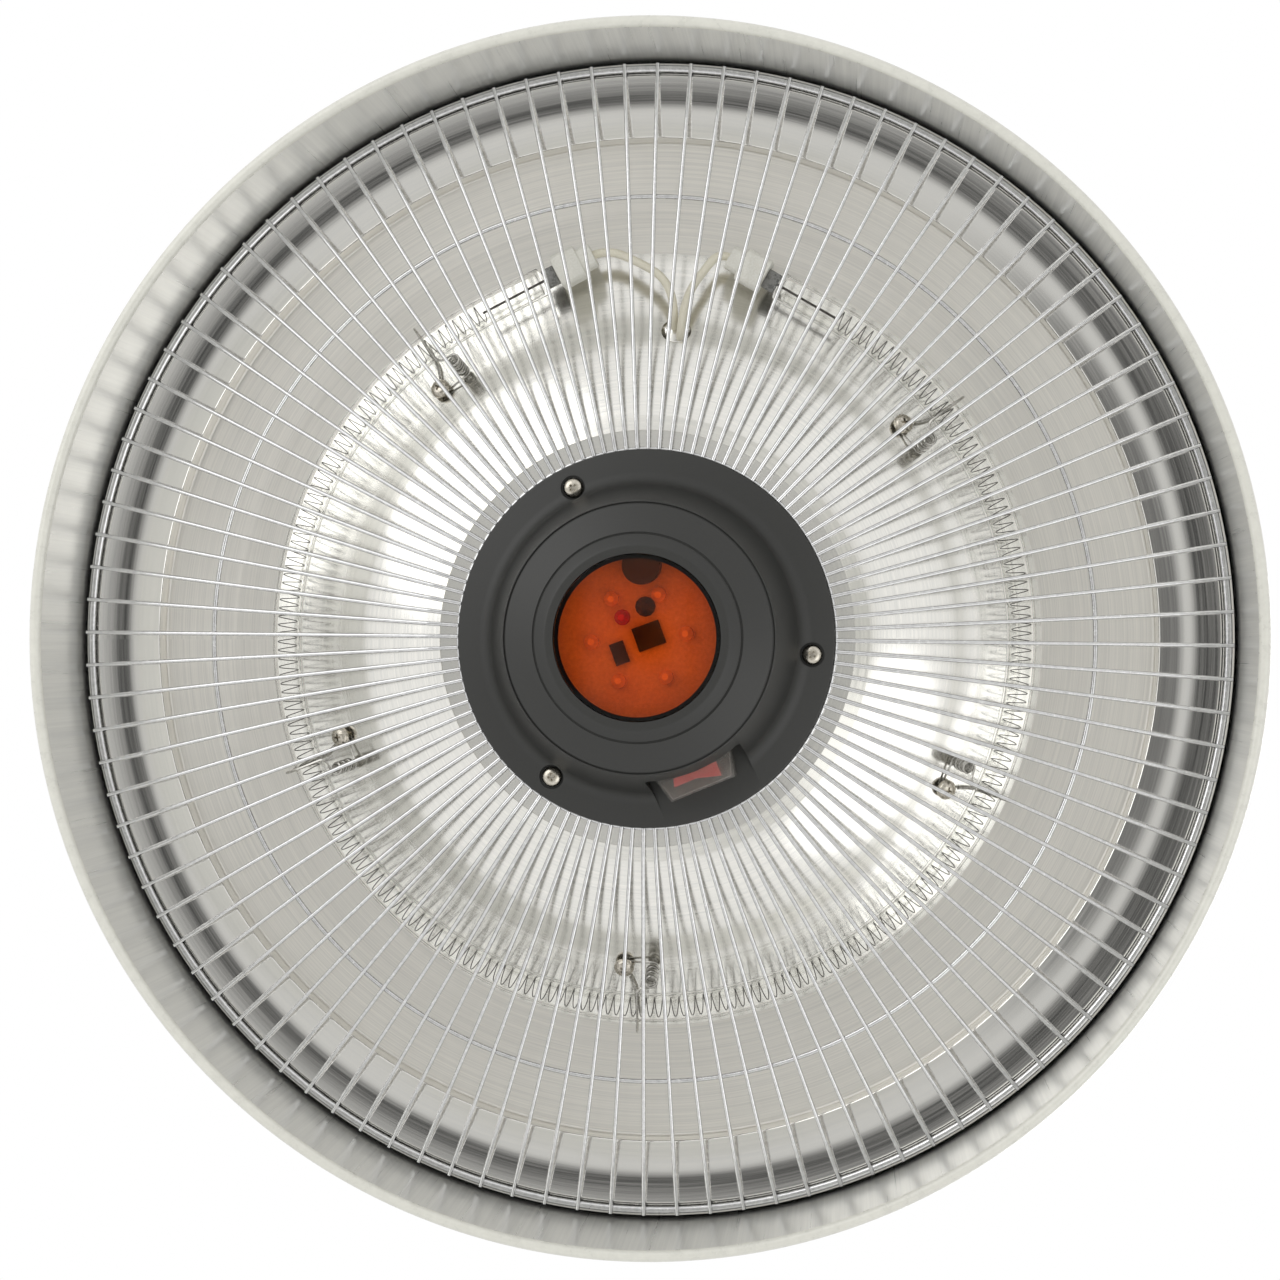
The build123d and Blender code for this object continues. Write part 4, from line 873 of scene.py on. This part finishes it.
@dataclass
class ClipSet:
    """The five coiled wire clips and their screws."""

    shop: Shop
    shape: PanShape
    angles: tuple[float, ...] = (24.4, 92.1, 160.0, 232.4, 322.3)
    sides: tuple[int, ...] = (1, 1, 1, -1, -1)
    at: float = 115.6
    centre_shift: float = 5.0
    screw_offset: float = 10.3
    screw_side: float = 0.45 + 1.3 + 0.15 - 1.95
    lift: float = 1.65
    turns: tuple[float, ...] = (15.0, 48.0, 80.0, 30.0, 62.0)

    def build(self) -> None:
        """Refines the clips and makes their screws."""
        self.shop.refine("tube_clips", SPRING, sharp=75.0)
        places = []
        for angle, side, turn in zip(self.angles, self.sides, self.turns):
            frame = self.shape.frame_at(angle - side * degrees(self.centre_shift / self.at), self.at)
            spot = frame @ Vector((side * self.screw_offset, self.screw_side, 0.0))
            seat = self.shape.frame_at(degrees(atan2(spot.y, spot.x)), hypot(spot.x, spot.y))
            places.append(seat @ Matrix.Translation((0, 0, self.lift)) @ Matrix.Rotation(radians(turn), 4, "Z"))
        settle_screws(cross_head(3.5, 2.4, 1.3, 8.0), places, "tube_clip_screws", "clip_screws")


@dataclass
class HubAssembly:
    """The black hub with its lens, board and screws."""

    shop: Shop
    front: float = -7.8
    foot: float = 28.4
    radius: float = 65.9
    bezel: float = 31.5
    neck: Point = (46.8, 0.0)
    heel: Point = (54.2, 23.2)
    edge: float = 25.4
    rebate: Point = (65.0, 27.6)
    grooves: tuple[float, ...] = (35.6, 46.1)
    groove: float = 0.7
    fall: float = 0.4375
    switch_angle: float = 67.7
    switch_flat: float = 46.4
    switch_span: tuple[float, float] = (7.6, 24.4)
    recess_half: float = 17.6
    panel: float = 2.5
    panel_hole: tuple[float, float] = (19.5, 13.1)
    screw_at: float = 58.3
    screw_angles: tuple[float, ...] = (244.3, 5.6, 124.2)
    screw_turns: tuple[float, ...] = (20.0, 65.0, 40.0)
    pocket: float = 4.3
    pocket_floor: float = 25.9
    lens_radius: float = 28.5
    lens_front: float = -7.5
    lens_back: float = -5.5
    room: tuple[Point, ...] = ((0.0, -3.9), (34.4, -3.5), (44.4, 1.9), (51.6, 24.6), (52.0, 29.4), (0.0, 29.4))
    lens_seat: tuple[Point, ...] = ((0.0, -9.0), (28.6, -9.0), (28.6, -5.5), (26.9, -5.5), (26.9, -3.0), (0.0, -3.0))

    def skin(self) -> list[Point]:
        """Outline of the filled cover, with its two fine grooves and rounded edges."""
        half = self.groove / 2
        (near, far), up = self.grooves, self.front + 2.9
        corners = [(0.0, self.front), (self.bezel, self.front), (near - half, up - 0.707 * half),
                   (near - half, up + self.groove), (near + half, up + self.groove),
                   (near + half, up + self.fall * half)]
        for side, deep in ((-half, False), (-half, True), (half, True), (half, False)):
            height = up + (far + side - near) * self.fall
            corners.append((far + side, height + (self.groove if deep else 0.0)))
        corners += [self.neck, self.heel, (self.radius, self.edge), (self.radius, self.rebate[1]), self.rebate,
                    (self.rebate[0], self.foot), (0.0, self.foot)]
        radii = [1.6, 0.12, 0.0, 0.0, 0.12, 0.12, 0.0, 0.0, 0.12, 0.2, 7.0, 0.7, 0.3, 0.0, 0.0]
        return rounded(corners, radii, 8.0)

    def on_switch(self, size: tuple[float, float], low: float, high: float) -> bmesh.types.BMesh:
        """Box on the switch's flat.

        Args:
            size: Its width and height.
            low: Where it starts, measured out of the hub from the flat.
            high: Where it ends.

        Returns:
            The box's mesh.
        """
        middle = (self.switch_flat + (low + high) / 2, 0, sum(self.switch_span) / 2)
        box = block((high - low, *size), middle)
        return moved(box, Matrix.Rotation(radians(self.switch_angle), 4, "Z"))

    def cover(self) -> bmesh.types.BMesh:
        """The moulded cover: a turned form, hollowed, with the switch recess and the screw pockets."""
        height = self.switch_span[1] - self.switch_span[0]
        room = carved(turned(self.room, 96), self.on_switch((2 * self.recess_half, height + 4), -self.panel, 12))
        body = carved(turned(self.skin(), 160), room)
        body = carved(body, self.on_switch((2 * self.recess_half, height), 0, 16))
        body = carved(body, self.on_switch(self.panel_hole, -self.panel - 6, 1))
        body = carved(body, turned(self.lens_seat, 96))
        for angle in self.screw_angles:
            place = self.at_screw(angle) @ Matrix.Translation((0, 0, -5))
            body = carved(body, moved(rod(self.pocket, 10.0, 36), place))
        return body

    def at_screw(self, angle: float) -> Matrix:
        """Frame on the floor of a screw's pocket."""
        return Matrix.Rotation(radians(angle), 4, "Z") @ Matrix.Translation((self.screw_at, 0, self.pocket_floor))

    def build(self) -> None:
        """Dresses the hub and makes its screws and lens."""
        shop = self.shop
        settle(self.cover(), "hub_moulding", [HUB_BLACK], ["hub_cover"], sharp=38.0)
        places = [self.at_screw(angle) @ Matrix.Rotation(pi, 4, "X") @ Matrix.Rotation(radians(turn), 4, "Z")
                  for angle, turn in zip(self.screw_angles, self.screw_turns)]
        settle_screws(cross_head(3.5, 2.4, 2.0, 8.6), places, "hub_cover_screws", "hub_screws")
        radius, front, back = self.lens_radius, self.lens_front, self.lens_back
        outline = rounded([(0.0, front), (radius, front), (radius, back), (0.0, back)], [0.4, 0.3], 20.0)
        settle(turned(outline, 128), "lens", [LENS_ORANGE], ["hub_lens"])
        shop.dress(BOARD, "led_board", "power_board")
        shop.dress(LED_RESIN, "board_leds")
        shop.dress(LED_RED, "status_led")
        shop.dress(PART_BLACK, "ir_receiver", "board_chip", "board_resistor", "buzzer", "power_relay", "board_stands")
        shop.dress(SCREW, "board_screws", "hub_nuts", "clip_nuts")
        shop.dress(RUBBER, "hub_gasket", "hub_wire_bush", "shade_bush")
        shop.dress(SLEEVE, "hub_loom")


@dataclass
class SwitchAssembly:
    """The booted rocker switch in the hub's wall."""

    shop: Shop

    def build(self) -> None:
        """Refines the rocker, the boot and the bezel."""
        shop = self.shop
        shop.refine("switch_rocker", ROCKER_RED, 0.25, body="rocker")
        shop.refine("switch_boot", BOOT_CLEAR, 0.25)
        shop.refine("switch_body", SWITCH_BLACK, 0.2)
        shop.dress(BRASS, "switch_tabs")


@dataclass
class TopAssembly:
    """The top cap, the cable gland, the hanging eye and what they cover."""

    shop: Shop

    def build(self) -> None:
        """Refines what shows on the top and dresses what is inside."""
        shop = self.shop
        for node, finish, edge in (("top_cap", ENAMEL, 0.4), ("hanging_eye", STEEL, 0.3), ("gland_body", GLAND, 0.3),
                                   ("gland_dome_nut", GLAND, 0.3), ("cap_screws", SCREW, 0.2),
                                   ("eye_washers", STEEL, 0.2), ("eye_nuts", STEEL, 0.3)):
            shop.refine(node, finish, edge)
        shop.dress(RUBBER, "cap_gasket", "gland_seal")
        shop.dress(GLAND, "gland_lock_nut")
        shop.dress(STEEL, "stay_posts")
        shop.dress(SCREW, "post_lower_screws", "post_upper_screws", "cap_nuts")
        shop.dress(BRASS, "terminal_screws")
        shop.dress(TERMINAL, "terminal_block")


@dataclass(frozen=True)
class Lamp:
    """A round soft lamp that shines at the heater."""

    name: str
    spot: tuple[float, float, float]
    size: float
    power: float

    def hang(self, aim: Vector) -> None:
        """Hangs the lamp so that it faces a point."""
        light = bpy.data.lights.new(self.name, "AREA")
        light.shape = "DISK"
        light.size = self.size
        light.energy = self.power
        lamp = bpy.data.objects.new(self.name, light)
        lamp.location = self.spot
        lamp.rotation_euler = (aim - Vector(self.spot)).to_track_quat("-Z", "Y").to_euler()
        bpy.context.scene.collection.objects.link(lamp)


@dataclass
class Studio:
    """The pale floor, the soft light and the camera under the heater."""

    rim_height: float = -0.187
    distance: float = 1.1
    aside: tuple[float, float] = (0.105, 0.007)
    rim_pixels: float = 1249.0
    image: float = 1280.0
    floor_height: float = -1.75
    floor_radius: float = 1.05
    card: tuple[float, float, float, float] = (-0.62, 0.08, -0.30, 0.30)
    card_core: tuple[float, float, float] = (-0.10, 0.0, 0.0)
    card_height: float = -1.72
    card_pale: float = 0.76
    card_dim: float = 0.2
    card_dark: float = 0.07
    soft_white: Colour = (0.72, 0.72, 0.71, 1.0)
    lamps: tuple[Lamp, ...] = (Lamp("key", (-0.9, -0.7, -1.1), 1.3, 5.0), Lamp("fill", (1.0, 0.6, -1.2), 1.2, 3.0),
                               Lamp("top", (0.5, 0.4, 1.3), 1.0, 12.0))

    def build(self) -> None:
        """Makes the floor, the world, the lamps and the camera."""
        self.make_floor()
        self.make_card()
        self.make_world()
        for lamp in self.lamps:
            lamp.hang(Vector((0, 0, -0.12)))
        self.make_camera()

    @staticmethod
    def lay(shape: bmesh.types.BMesh, name: str, sketch: Sketch) -> None:
        """Puts a mesh in metres, which is used up, into the studio under a name and with a material."""
        obj = stand(shape, name)
        obj.data.materials.append(sketch.owner)

    def make_floor(self) -> None:
        """Lays a pale round floor under the camera."""
        floor = bmesh.new()
        bmesh.ops.create_circle(floor, cap_ends=True, segments=96, radius=self.floor_radius)
        bmesh.ops.translate(floor, verts=floor.verts[:], vec=(0, 0, self.floor_height))
        sketch = Sketch(bpy.data.materials.new("pale_floor"))
        sketch.surface(sketch.add("BsdfDiffuse", Color=tone("e2e2df")))
        self.lay(floor, "floor", sketch)

    def make_card(self) -> None:
        """Lays a dark card on the floor, seen only in the bright metal and never by a camera."""
        left, right, front, back = self.card
        card = bmesh.new()
        bmesh.ops.create_grid(card, x_segments=1, y_segments=1, size=0.5)
        bmesh.ops.scale(card, vec=(right - left, back - front, 1.0), verts=card.verts[:])
        bmesh.ops.translate(card, verts=card.verts[:], vec=((left + right) / 2, (front + back) / 2, self.card_height))
        sketch = Sketch(bpy.data.materials.new("dark_card"))
        split, flat = sketch.spot()
        away = sketch.add("VectorMath", {"operation": "DISTANCE"}, i0=flat, i1=self.card_core).outputs["Value"]
        core, side, fade = (
            sketch.add("MapRange", Value=value, From_Min=near, From_Max=far, To_Min=low,
                       To_Max=self.card_pale).outputs[0]
            for value, near, far, low in ((away, 0.06, 0.16, self.card_dark), (split["X"], -0.43, -0.35, self.card_dim),
                                          (sketch.math("ABSOLUTE", split["Y"]), 0.16, 0.29, 0.0)))
        level = sketch.math("MINIMUM", core, sketch.math("MAXIMUM", side, fade))
        dark = sketch.add("BsdfDiffuse", Color=level)
        clear = sketch.add("BsdfTransparent")
        path = sketch.add("LightPath").outputs["Is Camera Ray"]
        sketch.surface(sketch.add("MixShader", i0=path, i1=dark.outputs[0], i2=clear.outputs[0]))
        self.lay(card, "dark_card", sketch)

    def make_world(self) -> None:
        """White where the camera or a bright surface sees it, and a softer light elsewhere."""
        world = bpy.data.worlds.new("studio")
        bpy.context.scene.world = world
        sketch = Sketch(world, "OutputWorld")
        path = sketch.add("LightPath").outputs
        seen = sketch.math("MAXIMUM", path["Is Camera Ray"], path["Is Glossy Ray"])
        seen = sketch.math("MAXIMUM", seen, path["Is Transmission Ray"])
        soft = sketch.add("Background", Color=self.soft_white)
        white = sketch.add("Background", Color=(1.0, 1.0, 1.0, 1.0))
        sketch.surface(sketch.add("MixShader", i0=seen, i1=soft.outputs[0], i2=white.outputs[0]))

    def make_camera(self) -> None:
        """Puts the camera where the photograph was taken from, under the heater and a little aside."""
        spot = Vector((self.aside[0], self.aside[1], self.rim_height - self.distance))
        aim = Vector((0.0005, 0.0007, self.rim_height))
        ahead = (aim - spot).normalized()
        up = Vector((0, -1, 0))
        right = ahead.cross(up).normalized()
        up = right.cross(ahead)
        camera = bpy.data.cameras.new("camera")
        camera.sensor_width = 36.0
        camera.lens = 36.0 * (self.rim_pixels / 0.425 * (aim - spot).length) / self.image
        camera.clip_start = 0.01
        obj = bpy.data.objects.new("camera", camera)
        obj.matrix_world = Matrix(((right.x, up.x, -ahead.x, spot.x), (right.y, up.y, -ahead.y, spot.y),
                                   (right.z, up.z, -ahead.z, spot.z), (0, 0, 0, 1)))
        bpy.context.scene.collection.objects.link(obj)
        bpy.context.scene.camera = obj


def main() -> None:
    """Builds the heater over its frame, and the studio round it."""
    logging.basicConfig(level=logging.INFO, format="%(message)s")
    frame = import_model()
    bpy.context.scene.view_settings.view_transform = "Standard"
    shop = Shop(frame["nodes"])
    pan = PanShape()
    ShadeAssembly().build()
    ReflectorAssembly(pan).build()
    GuardAssembly().build()
    LampAssembly(shop).build()
    ClipSet(shop, pan).build()
    HubAssembly(shop).build()
    SwitchAssembly(shop).build()
    TopAssembly(shop).build()
    Studio().build()


if __name__ == "__main__":
    main()
